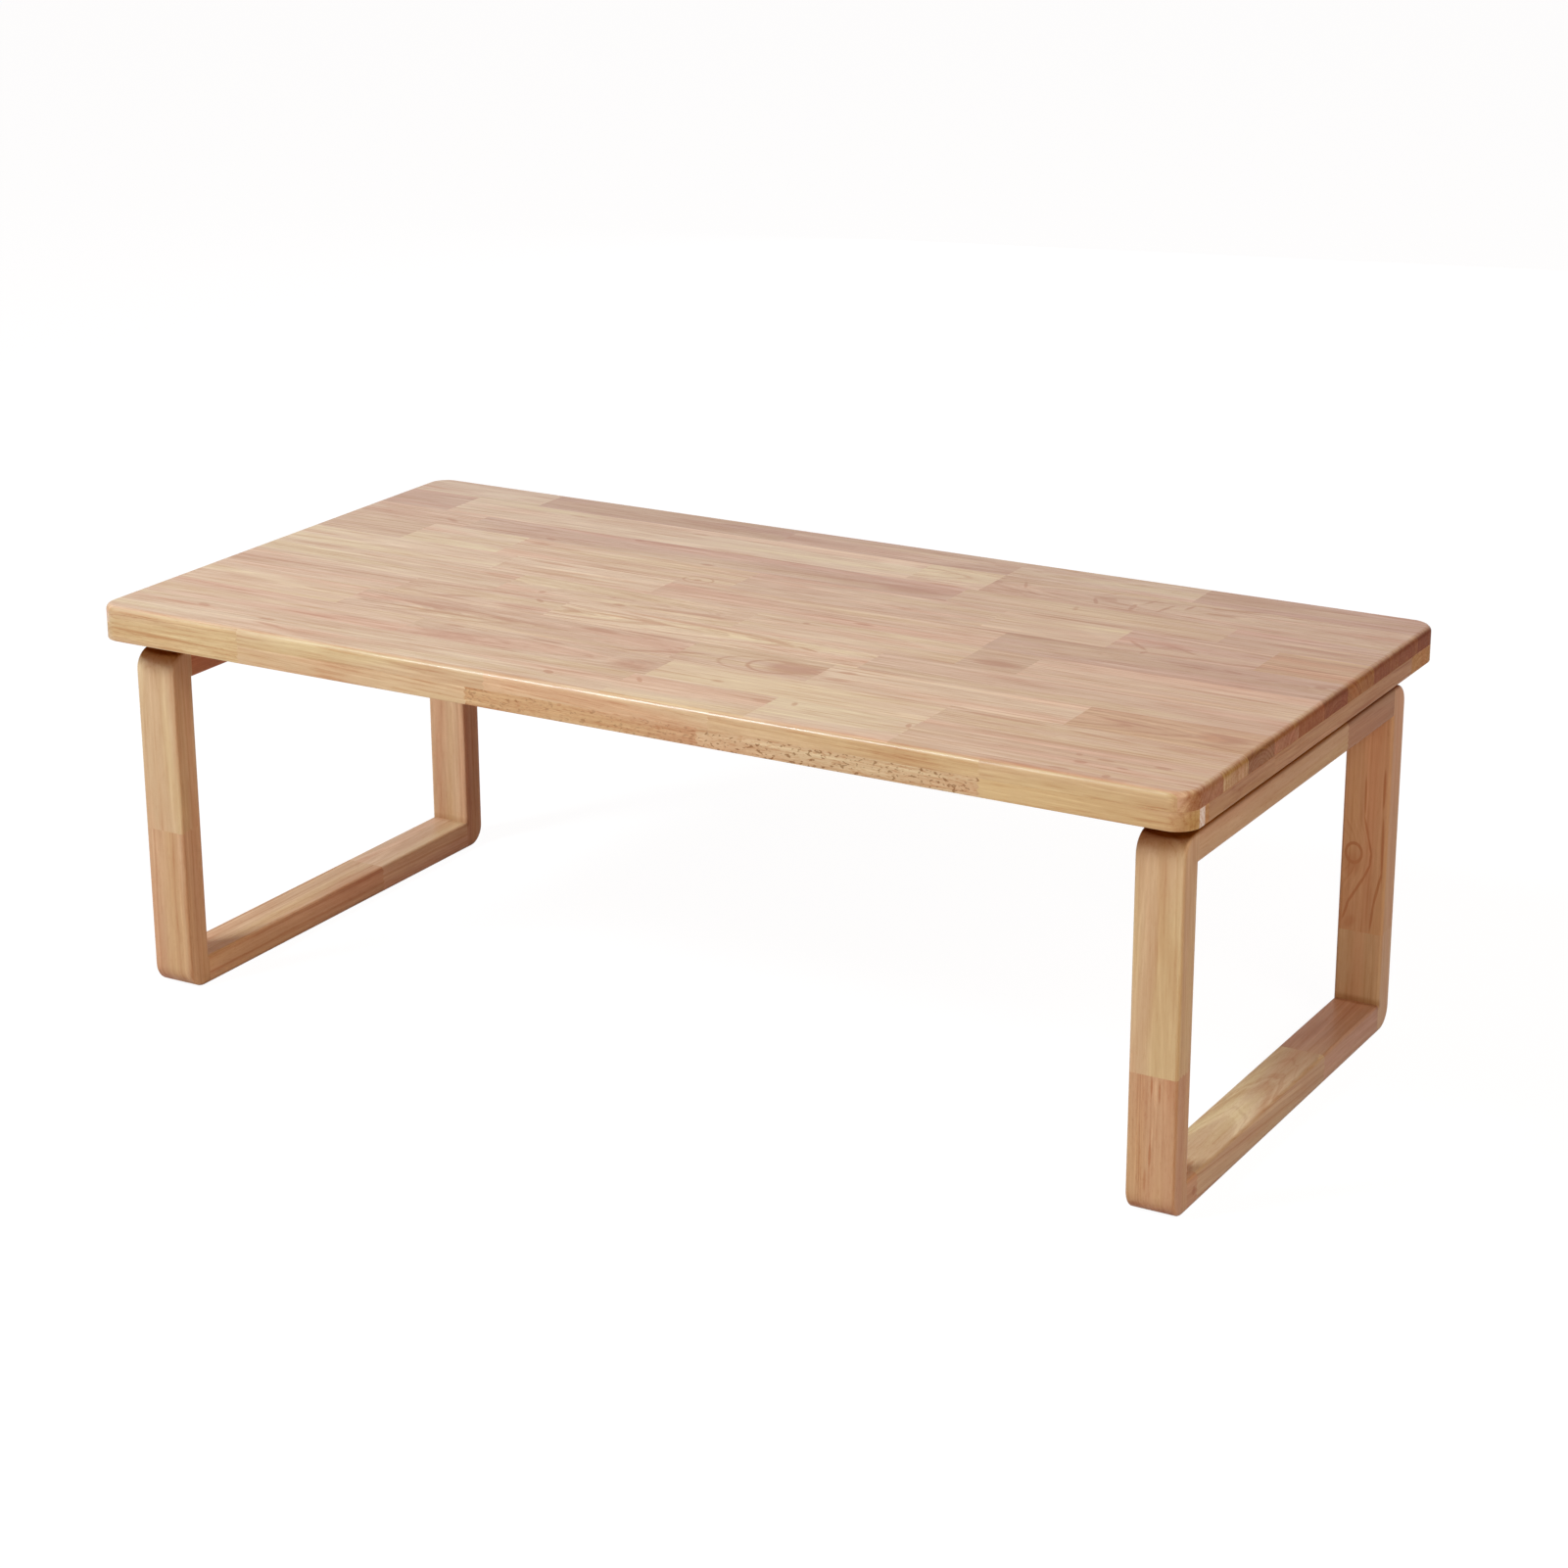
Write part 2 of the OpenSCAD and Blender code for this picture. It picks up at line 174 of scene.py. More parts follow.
# Rows of the top from rear to front, with the sides between them. A stave is its right end,
# tone, cut and grade, from left to right. All in mm.
TOP_ROW_SIDES = [203, 149.5, 105.5, 50, 2, -50, -97, -147, -193]
TOP_ROWS = [
    [(-357, "beige flat plain"), (-100, "mauve rift fair"), (127, "rose flat fair"),
     (300, "beige arch_left fair"), (500, "mauve quarter fair")],
    [(-422, "pink flat plain"), (55, "cream quarter plain"), (127, "cream arch_right lively"),
     (500, "peach arch_left lively")],
    [(-375, "blush rift fair"), (118, "pink flat fair"), (365, "peach quarter fair"),
     (500, "pink quarter lively")],
    [(-403, "pink rift fair"), (-300, "cream flat plain"), (-62, "straw quarter fair"),
     (177, "blush arch_right plain"), (292, "sand flat plain"), (420, "pink arch_right lively"),
     (500, "amber rift lively")],
    [(-275, "cream flat plain"), (-113, "cream quarter lively"), (205, "blush rift fair"),
     (500, "rose flat lively")],
    [(-235, "sand rift fair"), (0, "straw arch_right lively"), (207, "straw flat plain"),
     (262, "rose rift fair"), (500, "blush quarter fair")],
    [(-310, "blush quarter fair"), (-155, "blush arch_left fair"), (145, "sand arch_right lively"),
     (500, "blush rift fair")],
    [(-327, "straw flat plain"), (0, "blush arch_right lively"), (127, "blush arch_left fair"),
     (350, "sand rift fair"), (500, "amber arch_right lively")],
    [(-235, "blush flat plain"), (8, "peach arch_right fair"), (255, "sand flat plain"),
     (500, "straw quarter lively")],
    [(0, "sand rift fair"), (130, "sand flat fair"), (254, "cream flat plain"),
     (500, "peach rift fair")],
]
# Side grain of the panel's front and rear edges
FRONT_EDGE = [(-352, "wheat rift lively"), (-107, "honey flat plain"), (100, "honey arch_right fair"),
              (331, "wheat flat fair"), (500, "wheat quarter plain")]
REAR_EDGE = [(-180, "honey flat fair"), (210, "blush rift plain"), (500, "tan flat fair")]
FRONT_BATTEN = [(-352, "honey rift lively"), (-125, "honey flat plain"), (90, "tan flat dotted"),
                (331, "ivory rift flecked"), (500, "wheat quarter plain")]
FRONT_BATTEN_INSIDE = [(-210, "tan rift fair"), (160, "honey flat plain"), (500, "beige rift plain")]
FRONT_BATTEN_BACK = [(-60, "honey rift fair"), (500, "tan flat plain")]
FRONT_BATTEN_SEAMS = [-233, -224]
REAR_BATTEN = [(-240, "blush flat fair"), (120, "honey rift fair"), (500, "tan flat fair")]
END_BATTENS = {
    "left": [(450, [(-40, "honey flat fair"), (191, "tan rift fair")]),
             (500, [(90, "tan rift fair"), (191, "honey flat fair")])],
    "right": [(450, [(60, "blush rift fair"), (191, "honey flat fair")]),
              (500, [(-95, "umber quarter lively"), (191, "clay rift lively")])],
}
# Staves of the leg members, from the floor up or from front to rear
LEG_STAVES = {
    "left_front_post": [(146, "tan rift fair"), (305, "honey flat plain")],
    "left_rear_post": [(190, "apricot flat fair"), (305, "tan rift plain")],
    "left_top_rail": [(20, "rust flat fair"), (197, "rust rift fair")],
    "left_bottom_rail": [(60, "apricot rift lively"), (197, "straw flat fair")],
    "right_front_post": [(117, "tan quarter lively"), (305, "honey flat plain")],
    "right_rear_post": [(89, "honey flat plain"), (305, "apricot quarter plain")],
    "right_top_rail": [(95, "wheat quarter lively"), (197, "umber rift fair")],
    "right_bottom_rail": [(-178, "amber flat fair"), (78, "honey arch_right lively"),
                          (197, "rose rift fair")],
}


def linear(rgb):
    """A colour in sRGB, 0 to 255, as linear values."""
    scaled = [value / 255 for value in rgb]
    return [v / 12.92 if v <= 0.04045 else ((v + 0.055) / 1.055) ** 2.4 for v in scaled]


def new_object(name, data):
    made = bpy.data.objects.new(name, data)
    bpy.context.scene.collection.objects.link(made)
    return made


def redress(node, material):
    """Gives a frame piece one material in place of its plain one."""
    node.data.materials.clear()
    node.data.materials.append(material)


# Shader graphs

class Graph:
    """A tree of shader nodes."""

    def __init__(self, tree):
        self.tree = tree

    def feed(self, socket, value):
        if isinstance(value, bpy.types.NodeSocket):
            self.tree.links.new(value, socket)
        else:
            socket.default_value = value

    def add(self, kind, inputs=None, **settings):
        node = self.tree.nodes.new("ShaderNode" + kind)
        for key, value in settings.items():
            setattr(node, key, value)
        for key, value in (inputs or {}).items():
            self.feed(node.inputs[key], value)
        return node

    def math(self, operation, *values):
        return self.add("Math", dict(enumerate(values)), operation=operation).outputs[0]

    def total(self, *values):
        result = values[0]
        for value in values[1:]:
            result = self.math("ADD", result, value)
        return result

    def scaled(self, vector, factors):
        node = self.add("VectorMath", {0: vector, 1: factors}, operation="MULTIPLY")
        return node.outputs[0]

    def split(self, vector):
        return self.add("SeparateXYZ", {0: vector}).outputs

    def ramp(self, value, low, high, to_low=0.0, to_high=1.0):
        inputs = {"Value": value, "From Min": low, "From Max": high,
                  "To Min": to_low, "To Max": to_high}
        return self.add("MapRange", inputs, interpolation_type="SMOOTHSTEP", clamp=False).outputs[0]

    def noise(self, vector, detail, roughness):
        inputs = {"Vector": vector, "Scale": 1.0, "Detail": detail, "Roughness": roughness}
        return self.add("TexNoise", inputs).outputs[0]

    def noise_line(self, value, detail, roughness):
        inputs = {"W": value, "Scale": 1.0, "Detail": detail, "Roughness": roughness}
        return self.add("TexNoise", inputs, noise_dimensions="1D").outputs[0]

    def mix(self, factor, first, second, mode="MIX"):
        node = self.add("Mix", {0: factor, 6: first, 7: second}, data_type="RGBA", blend_type=mode)
        return node.outputs[2]

    def tint(self, factor, color, factors):
        """Multiplies a colour by factors, as far as factor says."""
        return self.mix(factor, color, (*factors, 1.0), "MULTIPLY")

    def bump(self, height, strength, distance):
        inputs = {"Height": height, "Strength": strength, "Distance": distance}
        return self.add("Bump", inputs).outputs[0]

    def studio_rays(self):
        """1 for rays from the camera, and for mirrored and refracted ones."""
        path = self.add("LightPath").outputs
        seen = self.math("MAXIMUM", path["Is Camera Ray"], path["Is Glossy Ray"])
        return self.math("MAXIMUM", seen, path["Is Transmission Ray"])


class Shader(Graph):
    """One material's nodes around a Principled shader."""

    def __init__(self, name):
        self.material = bpy.data.materials.new(name)
        self.material.use_nodes = True
        super().__init__(self.material.node_tree)
        self.surface = self.tree.nodes["Principled BSDF"]

    def dress(self, inputs):
        """Feeds the surface and returns the finished material."""
        for key, value in inputs.items():
            self.feed(self.surface.inputs[key], value)
        return self.material


# The share of a mark's size over which it has its full strength
MARK_CORE = 0.25


def mark_parts(row):
    """A row of a table of marks, with 0 for a turn or an outline that it doesn't give."""
    first, second, half_first, half_second, shade, *more = row
    turn, outline = (*more, 0, 0)[:2]
    return (first, second), (half_first, half_second), shade, math.radians(turn), outline


def mark_mask(shader, place, face, row):
    """A soft elongated spot around a point of a face, or its outline."""
    axis, level, depth = face
    middle, half, shade, turn, outline = mark_parts(row)
    middle = [value * MM for value in (*middle[:axis], level, *middle[axis:])]
    half = [value * MM for value in (*half[:axis], depth, *half[axis:])]
    rotation = [turn if k == axis else 0.0 for k in range(3)]
    inputs = {"Vector": place, "Location": middle, "Rotation": rotation, "Scale": half}
    local = shader.add("Mapping", inputs, vector_type="TEXTURE").outputs[0]
    distance = shader.add("VectorMath", {0: local}, operation="LENGTH").outputs[1]
    if outline:
        off_line = shader.math("ABSOLUTE", shader.math("SUBTRACT", distance, 1.0))
        return shader.ramp(off_line, outline, 0.0, 0.0, shade)
    return shader.ramp(distance, 1.0, MARK_CORE, 0.0, shade)


def sum_of_marks(shader, place, marks):
    """marks are pairs of a face and a row of a table of marks."""
    return shader.total(0.0, *[mark_mask(shader, place, face, row) for face, row in marks])


TOP_GLOSS = 0.22
EDGE_GLOSS = 0.07
LEG_STREAKS = 0.5
# How far noise bends the growth rings, in mm
WARP = 5.0
WOBBLE = 1.2
# The noises drawn out along the grain: turns per mm along it and across it, detail and roughness
GRAIN = {
    "warp": (0.007, 0.03, 2.0, 0.5),
    "wobble": (0.03, 0.2, 2.0, 0.5),
    "fibre": (0.016, 0.42, 3.0, 0.62),
    "haze": (0.007, 0.05, 3.0, 0.5),
    "fleck": (0.13, 0.9, 1.0, 0.5),
    "pore": (0.30, 2.2, 0.0, 0.5),
    "speck": (0.26, 0.46, 1.0, 0.5),
    "hue": (0.0035, 0.04, 1.0, 0.5),
}
# The noises along a log's radius: turns per mm, detail and roughness
RINGS = {
    "fine": (0.18, 3.0, 0.62),
    "broad": (0.085, 1.0, 0.5),
    "end": (0.30, 2.0, 0.5),
}
# What strong streaks add to the turns of the fine rings
TURNS_BY_STREAKS = 0.22
# The space between two logs in these noises
LOG_SPACING = 1000.0
# The values of its noise between which each feature of the wood grows, and its full strength
LIMITS = {
    "dark_line": (0.54, 0.68, 0.50),
    "pale_line": (0.44, 0.30, 0.80),
    "band": (0.42, 0.66, 0.20),
    "dark_fibre": (0.50, 0.70, 0.62),
    "pale_fibre": (0.47, 0.30, 0.85),
    "dark_haze": (0.50, 0.68, 0.34),
    "pale_haze": (0.48, 0.32, 0.40),
    "fleck": (0.56, 0.70, 0.50),
    "pore": (0.60, 0.76, 1.0),
    "speck": (0.60, 0.67, 1.0),
    "specked": (0.8, 1.3, 1.0),
    "pink": (0.50, 0.68, 1.0),
    "yellow": (0.50, 0.32, 1.0),
    "end": (0.50, 0.95, 1.0),
    "end_arc": (0.42, 0.62, 1.0),
}
PORE_SHADE = 0.35
# The lacquered surface, its relief, and how end grain differs from it
FIBRE_LIMITS = (0.3, 0.7)
FIBRE_ROUGHNESS = (0.36, 0.46)
COAT_ROUGHNESS = 0.16
LACQUER_IOR = 1.5
END_ROUGHNESS = 0.08
END_GLOSS_LOSS = 0.8
FIBRE_RELIEF = 0.5
PORE_RELIEF = -0.6
RELIEF_STRENGTH = 0.35
RELIEF_DISTANCE = 0.06 * MM
# Tints
DEEP = (0.78, 0.59, 0.50)
PALE = (1.17, 1.26, 1.30)
SPECK = (0.56, 0.46, 0.38)
# Tint of the painted shade under the tabletop and on the lower arrises, and of the glue with painted
# shade in the rear inner corners
PAINTED_SHADE_AND_GLUE_TINT = (0.48, 0.26, 0.05)
PINKISH = (1.03, 0.95, 0.95)
YELLOWISH = (1.01, 1.05, 0.96)
# How end grain tints the wood's tone
END_TONES = {
    "ochre": (0.83, 0.70, 0.41),
    "red": (0.70, 0.57, 0.52),
    "olive": (0.92, 1.02, 1.02),
    "grey": (0.60, 0.54, 0.56),
    "brown": (0.70, 0.57, 0.35),
    "dark": (0.52, 0.30, 0.16),
    # the darkest tone, at the top's rear right corner
    "darkest": (0.50, 0.26, 0.11),
    "pale": (1.35, 1.90, 2.80),
    "bare": (1.00, 1.05, 0.95),
}
# The right ends of the top's rows, from rear to front: tone and how dark the arris is
TOP_ENDS = [("darkest", 1.0), ("dark", 0.85), ("dark", 0.6), ("brown", 0.5), ("dark", 0.95),
            ("dark", 0.45), ("red", 1.0), ("grey", 1.0), ("olive", 0.85), ("red", 0.35)]
# The same for the panel's rear and front edge strips
EDGE_STRIP_ENDS = [("darkest", 1.0), ("ochre", 0.3)]
# Ends that the photograph doesn't show take one of these tones
UNSEEN_ENDS = ("ochre", "red", "grey", "brown", "bare")
UNSEEN_ARRIS_DARK = 0.8
END_ARCS = (0.88, 0.80, 0.74)
# Tint of the top's darker end arrises
ARRIS_DARK_TINT = (0.70, 0.54, 0.15)
# Strength of the arris's darkening at the foot of its round, and its rise over the round
ARRIS_DARK_FOOT = 0.35
ARRIS_DARK_RISE = 2


def wood(name, way, gloss, streaks=1.0, darks=(), lights=(), knots=(), painted_shade_and_glue=()):
    """Lacquered rubberwood, cut from the logs that the mesh's attributes describe.

    way is the direction of the grain, and streaks is how strongly the fibres show against
    the rings. The others are marks, the last of them painted shade and glue.
    """
    s = Shader(name)
    log = s.add("Attribute", attribute_name="log").outputs["Vector"]
    tone = s.add("Attribute", attribute_name="tone").outputs
    end_tone = s.add("Attribute", attribute_name="end_tone").outputs
    figure, flecks, arris_dark = s.split(s.add("Attribute", attribute_name="trait").outputs["Vector"])
    coordinates = s.add("TexCoord").outputs
    place = coordinates["Object"]

    def grain(noise):
        along, across, detail, roughness = GRAIN[noise]
        return s.noise(s.scaled(log, (along, across, across)), detail, roughness)

    def feature(limits, value, factor=1.0):
        low, high, strength = LIMITS[limits]
        return s.ramp(value, low, high, 0.0, strength * factor)

    # Growth rings: the distance from the pith, bent by noise and by knots
    _, across, depth = s.split(log)
    straight = s.math("SQRT", s.total(s.math("POWER", across, 2.0), s.math("POWER", depth, 2.0)))
    radius = s.total(
        straight,
        s.math("MULTIPLY_ADD", grain("warp"), WARP, -WARP / 2),
        s.math("MULTIPLY_ADD", grain("wobble"), WOBBLE, -WOBBLE / 2),
        sum_of_marks(s, place, knots),
    )
    rings = s.math("MULTIPLY_ADD", tone["Alpha"], LOG_SPACING, radius)

    def ring_noise(noise, more_turns=0.0):
        turns, detail, roughness = RINGS[noise]
        return s.noise_line(s.math("MULTIPLY", rings, turns + more_turns), detail, roughness)

    fine = ring_noise("fine", TURNS_BY_STREAKS * streaks)
    broad = ring_noise("broad")

    # Fibres and pores, drawn out along the grain
    fibre = grain("fibre")
    haze = grain("haze")
    pore = feature("pore", grain("pore"))
    dark_rings = s.total(feature("dark_line", fine), feature("band", broad))
    dark_pores = s.math("MULTIPLY_ADD", pore, PORE_SHADE, feature("fleck", grain("fleck")))
    darkness = s.total(
        s.math("MULTIPLY", figure, dark_rings),
        feature("dark_fibre", fibre, streaks),
        feature("dark_haze", haze),
        s.math("MULTIPLY", flecks, dark_pores),
        sum_of_marks(s, place, darks),
    )
    paleness = s.total(
        s.math("MULTIPLY", figure, feature("pale_line", fine)),
        feature("pale_fibre", fibre, streaks),
        feature("pale_haze", haze),
        sum_of_marks(s, place, lights),
    )
    hue = grain("hue")
    color = s.tint(feature("pink", hue), tone["Color"], PINKISH)
    color = s.tint(feature("yellow", hue), color, YELLOWISH)
    color = s.tint(darkness, color, DEEP)
    color = s.tint(paleness, color, PALE)
    specks = s.math("MULTIPLY", feature("specked", flecks), feature("speck", grain("speck")))
    color = s.tint(specks, color, SPECK)
    # Painted shade in the gap under the tabletop and on the lower arrises, and glue with painted shade
    # in the rear inner corners
    if painted_shade_and_glue:
        color = s.tint(sum_of_marks(s, place, painted_shade_and_glue), color, PAINTED_SHADE_AND_GLUE_TINT)

    # End grain drinks the finish, each stave to its own degree, and the top's end arrises are darker
    # still
    facing = s.add("VectorMath", {0: coordinates["Normal"], 1: way}, operation="DOT_PRODUCT")
    end = feature("end", s.math("ABSOLUTE", facing.outputs["Value"]))
    color = s.mix(end, color, s.mix(1.0, color, end_tone["Color"], "MULTIPLY"))
    arcs = feature("end_arc", ring_noise("end"))
    color = s.tint(s.math("MULTIPLY", end, arcs), color, END_ARCS)
    color = s.tint(s.math("MULTIPLY", arris_dark, end_tone["Alpha"]), color, ARRIS_DARK_TINT)

    shine = s.math("MULTIPLY_ADD", end, -END_GLOSS_LOSS * gloss, gloss)
    height = s.total(
        s.math("MULTIPLY", fibre, FIBRE_RELIEF),
        s.math("MULTIPLY", s.math("MULTIPLY", pore, flecks), PORE_RELIEF),
    )
    return s.dress({
        "Base Color": color,
        "Roughness": s.total(s.ramp(fibre, *FIBRE_LIMITS, *FIBRE_ROUGHNESS),
                             s.math("MULTIPLY", end, END_ROUGHNESS)),
        "IOR": LACQUER_IOR,
        "Specular IOR Level": shine,
        "Coat Weight": shine,
        "Coat Roughness": COAT_ROUGHNESS,
        "Normal": s.bump(height, RELIEF_STRENGTH, RELIEF_DISTANCE),
    })


# Streaks and small knots that can be told apart in the photograph, as the middle, the half
# sizes and the strength. A sixth value turns the mark, in degrees, and a seventh draws only
# its outline, that wide.
TOP_DARKS = [
    (-193, -36, 5, 4, 1.04), (-180, -59, 8, 3.1, 1.3, -35), (-62, -224, 7, 4.2, 2.08, -30),
    (-97, 60, 5, 4.2, 1.04), (-97, 61, 14, 9, 0.84, 0, 0.14), (92, 12, 13, 4, 1.04),
    (49, -8, 5, 4, 0.78), (149, -202, 3.5, 6, 1.17, 15), (122, -206, 11, 4.2, 1.04),
    (250, -206, 3, 6, 1.43, 20), (67, -180, 8, 4, 0.78), (155, 184, 15, 2.2, 0.78, -66),
    (171, 165, 13, 2.2, 0.65, -30), (232, 194, 13, 2.2, 0.65, 45), (228, 168, 11, 2.5, 1.17, -60),
    (263, 166, 12, 3.1, 1.69, -83), (270, 185, 14, 2.8, 0.65, 70), (289, 175, 17, 2.8, 1.04, 77),
    (306, 187, 11, 2.8, 1.04, 80), (344, 198, 31, 3.1, 1.69, 13), (338, 180, 24, 5, 0.78, 10),
    (223, 140, 3.5, 9, 0.65, 15), (239, 107.5, 62, 2.2, 1.17), (340, 108, 30, 2.2, 0.91),
    (230, 48, 88, 3.4, 1.3), (313, 68, 20, 2.5, 1.3, -40), (325, 52, 6, 2.8, 1.17, 70),
    (352, 72, 24, 2.8, 0.65, -27), (438, 122, 66, 4.2, 0.91), (462, 71, 42, 2.8, 1.04, 2),
    (80, 120, 44, 14, 0.65), (97, 150, 28, 3.5, 0.78), (380, 34, 8, 2.8, 0.78, -20),
    (408, 38, 12, 2.8, 0.91, -12), (440, 31, 14, 2.8, 0.78, 10), (484, 33, 8, 4.2, 1.17),
    (46, -66, 29, 2.2, 1.04, -3), (87, -72, 14, 2.5, 1.69, -16), (60, -84, 30, 2.1, 0.65, -8),
    (104, -124, 34, 19, 1.17, 6), (88, -126, 24, 16, 0.96, 0, 0.14), (72, -128, 34, 18, 0.6, 0, 0.1),
    (236, -32, 29, 12, 0.91), (420, -21, 82, 3.1, 0.91, -2), (163, -98, 30, 2.2, 0.78),
    (146, -112, 11, 4.9, 0.78), (146, -133, 17, 4, 0.65), (306, -155, 48, 3.1, 1.69, -2),
    (388, -160, 40, 2.8, 1.17, -6), (462, -160, 40, 3.1, 1.17, 5), (380, -189, 122, 2.8, 1.04),
    (468, -121, 28, 14, 1.17), (392, -119, 42, 2.8, 1.04, -7), (470, -140, 32, 2.8, 0.91, -8),
    (399, -220, 7, 3.5, 1.43), (391, -205, 4, 2.8, 1.17, -30), (414, -208, 10, 2.5, 1.04),
    (432, -219, 8, 2.5, 0.91), (458, -204, 10, 3.4, 1.17), (391, -239, 12, 3.1, 0.91),
    (429, -240, 4, 4.2, 1.69, -40), (-303, 190, 15, 4.2, 0.52), (-172, 190, 12, 4.2, 0.52),
    (-172, 147, 54, 2.8, 1.17), (-209, 146, 7, 4, 1.3), (-397, 123, 12, 4, 0.78, -25),
    (-282, 112, 8, 4, 1.04, -20), (-115, 106, 10, 4.2, 0.91), (-332, 115, 45, 2.8, 0.78),
    (-281, 93, 18, 4.9, 0.78), (-195, 16, 78, 3.5, 0.91), (-234, 44, 32, 4.2, 0.78),
    (-447, -3, 45, 4.2, 0.52), (-52, -30, 68, 5, 0.78, 3), (-115, -37, 8, 4, 1.04),
    (-20, -57, 130, 3.1, 1.04, -4), (-68, -68, 80, 2.5, 0.78, -2), (-250, -80, 35, 4.2, 0.65, 20),
    (-185, -83, 36, 8, 0.52), (-200, -117, 120, 7, 0.65, -2), (-233, -128, 88, 3.1, 1.17),
    (-87, -108, 25, 5, 0.78), (-12, -134, 44, 3.6, 1.17, 20), (-200, -155, 16, 2.8, 0.91),
    (-110, -155, 28, 2.8, 1.04), (-14, -176, 29, 19, 0.78), (-190, -180, 40, 14, 0.39),
    (12, -207, 9, 2.8, 1.04, -50), (-336, -227, 25, 3.6, 0.91, -8), (-347, -215, 12, 3.6, 0.78),
    (-420, -206, 10, 4.9, 0.78, -15),
]
TOP_LIGHTS = [
    (-188, 29, 78, 4.5, 1.43), (-160, 203, 190, 3.5, 0.91), (-185, 156, 62, 4.2, 1.04),
    (-114, 94, 54, 3.5, 1.04, 1), (-50, -37, 68, 3.4, 1.17, 4), (-148, -146, 74, 4.2, 1.56),
    (-60, -5, 60, 5, 0.65), (30, 190, 30, 16, 0.65), (438, 131, 66, 3.9, 1.3, -2),
    (462, 105, 42, 3.4, 1.17), (380, -46, 125, 3.4, 1.17), (245, -103, 110, 4.2, 1.43),
    (304, -147, 52, 3.6, 1.69), (346, -198, 88, 3.1, 1.04), (190, 58, 70, 4, 0.65),
    (240, -185, 20, 8, 0.52), (430, -146, 70, 3.1, 0.91, -4),
]
# The top's marks are shared out among materials by these sides of rows, because one material
# can't hold them all
TOP_ZONES = [105.5, 2, -97]
POST_KNOTS = [(456, 157, 22, 34, 9.0)]
POST_DARKS = [
    (456.5, 157, 7, 8.5, 2.4, 0, 0.22), (456, 148, 11, 16, 0.5), (464.5, 208, 1.3, 24, 1.6, -1),
    (466.8, 180, 1.3, 14, 1.7, -13), (470.6, 164, 1.3, 11, 1.6, -12), (471.5, 153, 1.3, 9, 1.6, 3),
    (468.6, 142, 1.4, 9, 1.8, 22), (462.6, 130, 1.5, 13, 2.0, 29), (456.6, 119, 1.5, 13, 2.0, 28),
    (451.6, 106, 1.4, 12, 1.6, 16), (480.5, 216, 1.4, 24, 1.7), (481.3, 164, 1.5, 38, 1.8, -1),
    (478.2, 126, 1.6, 22, 1.8, 11), (474.8, 103, 1.5, 16, 1.5, 5), (456, 96, 6, 9, 0.4, 30),
]
RAIL_DARKS = [(485, -184, 9, 4, 1.2)]
FRONT_POST_DARKS = [
    (464.5, 108, 1.2, 11, 1.0), (471, 104, 1.3, 13, 0.8), (464.5, 52, 1.6, 12, 1.0),
    (461, 30, 1.4, 14, 0.7), (453, 8, 9, 4, 0.8), (474, 6, 10, 4, 0.7),
]
FRONT_POST_LIGHTS = [
    (467.5, 102, 1.3, 17, 1.3), (466, 70, 1.2, 16, 0.7, 2), (453.5, 62, 1.1, 52, 0.8, 1),
]
# Painted shade: the loops' top faces, in the gap under the tabletop, and their lower arrises are
# darkened where shade falls. The inner corners at the rear are darkened by painted shade and by the
# glue.
LOOP_TOP_PAINTED_SHADE = [(-465, 0, 34, 900, 1.8), (465, 0, 34, 900, 1.8)]
LOOP_FOOT_PAINTED_SHADE = [(-465, 0, 60, 900, 1.0), (465, 0, 60, 900, 0.8)]
# Glue lines with painted shade in the rear inner corners, where post meets rail
CORNER_PAINTED_SHADE_AND_GLUE = [(-465, 25, 60, 7, 0.25), (465, 25, 60, 7, 0.5)]
# Faces that carry marks: the axis square to the face, its level and how deep marks go, in mm
TOP_FACE = (2, 350, 40)
FRONT_POST_FACE = (1, -222, 12)
REAR_POST_FACE = (1, 197, 12)
REAR_POST_CORE = (1, 197, 30)
RAIL_CORE = (2, 12, 5)
LOOP_TOP = (2, 305, 5)
LOOP_FOOT = (2, 0, 4)
REAR_CORNER = (1, 197, 7)
# Beyond every side of the table, in mm
OUTSIDE = 1000


def marks(face, rows, low=-OUTSIDE, high=OUTSIDE):
    """A table's marks on a face, as far as they reach into a band of its second direction."""
    found = []
    for row in rows:
        middle, half, _, turn, outline = mark_parts(row)
        reach = half[0] * abs(math.sin(turn)) + half[1] * abs(math.cos(turn))
        reach *= 1 + outline
        if low < middle[1] + reach and middle[1] - reach < high:
            found.append((face, row))
    return found


# Wood meshes

rng = random.Random(11)
# A stave starts somewhere in the first 4 m of its log, in mm.
LOG_LENGTH = 4000
# How far staves of one tone and cut differ, as factors
TONE_SPREAD = (0.97, 1.03)
ACROSS_SPREAD = (0.85, 1.2)
DEPTH_SPREAD = (0.85, 1.15)
LEAN_ACROSS_SPREAD = (-1.2, 1.2)
LEAN_DEPTH_SPREAD = (0.8, 1.2)
# Which coordinate is along, across and in depth, for grain along X, Y and Z
X_FIRST = (0, 1, 2)
Y_FIRST = (1, 0, 2)
Z_FIRST = (2, 0, 1)


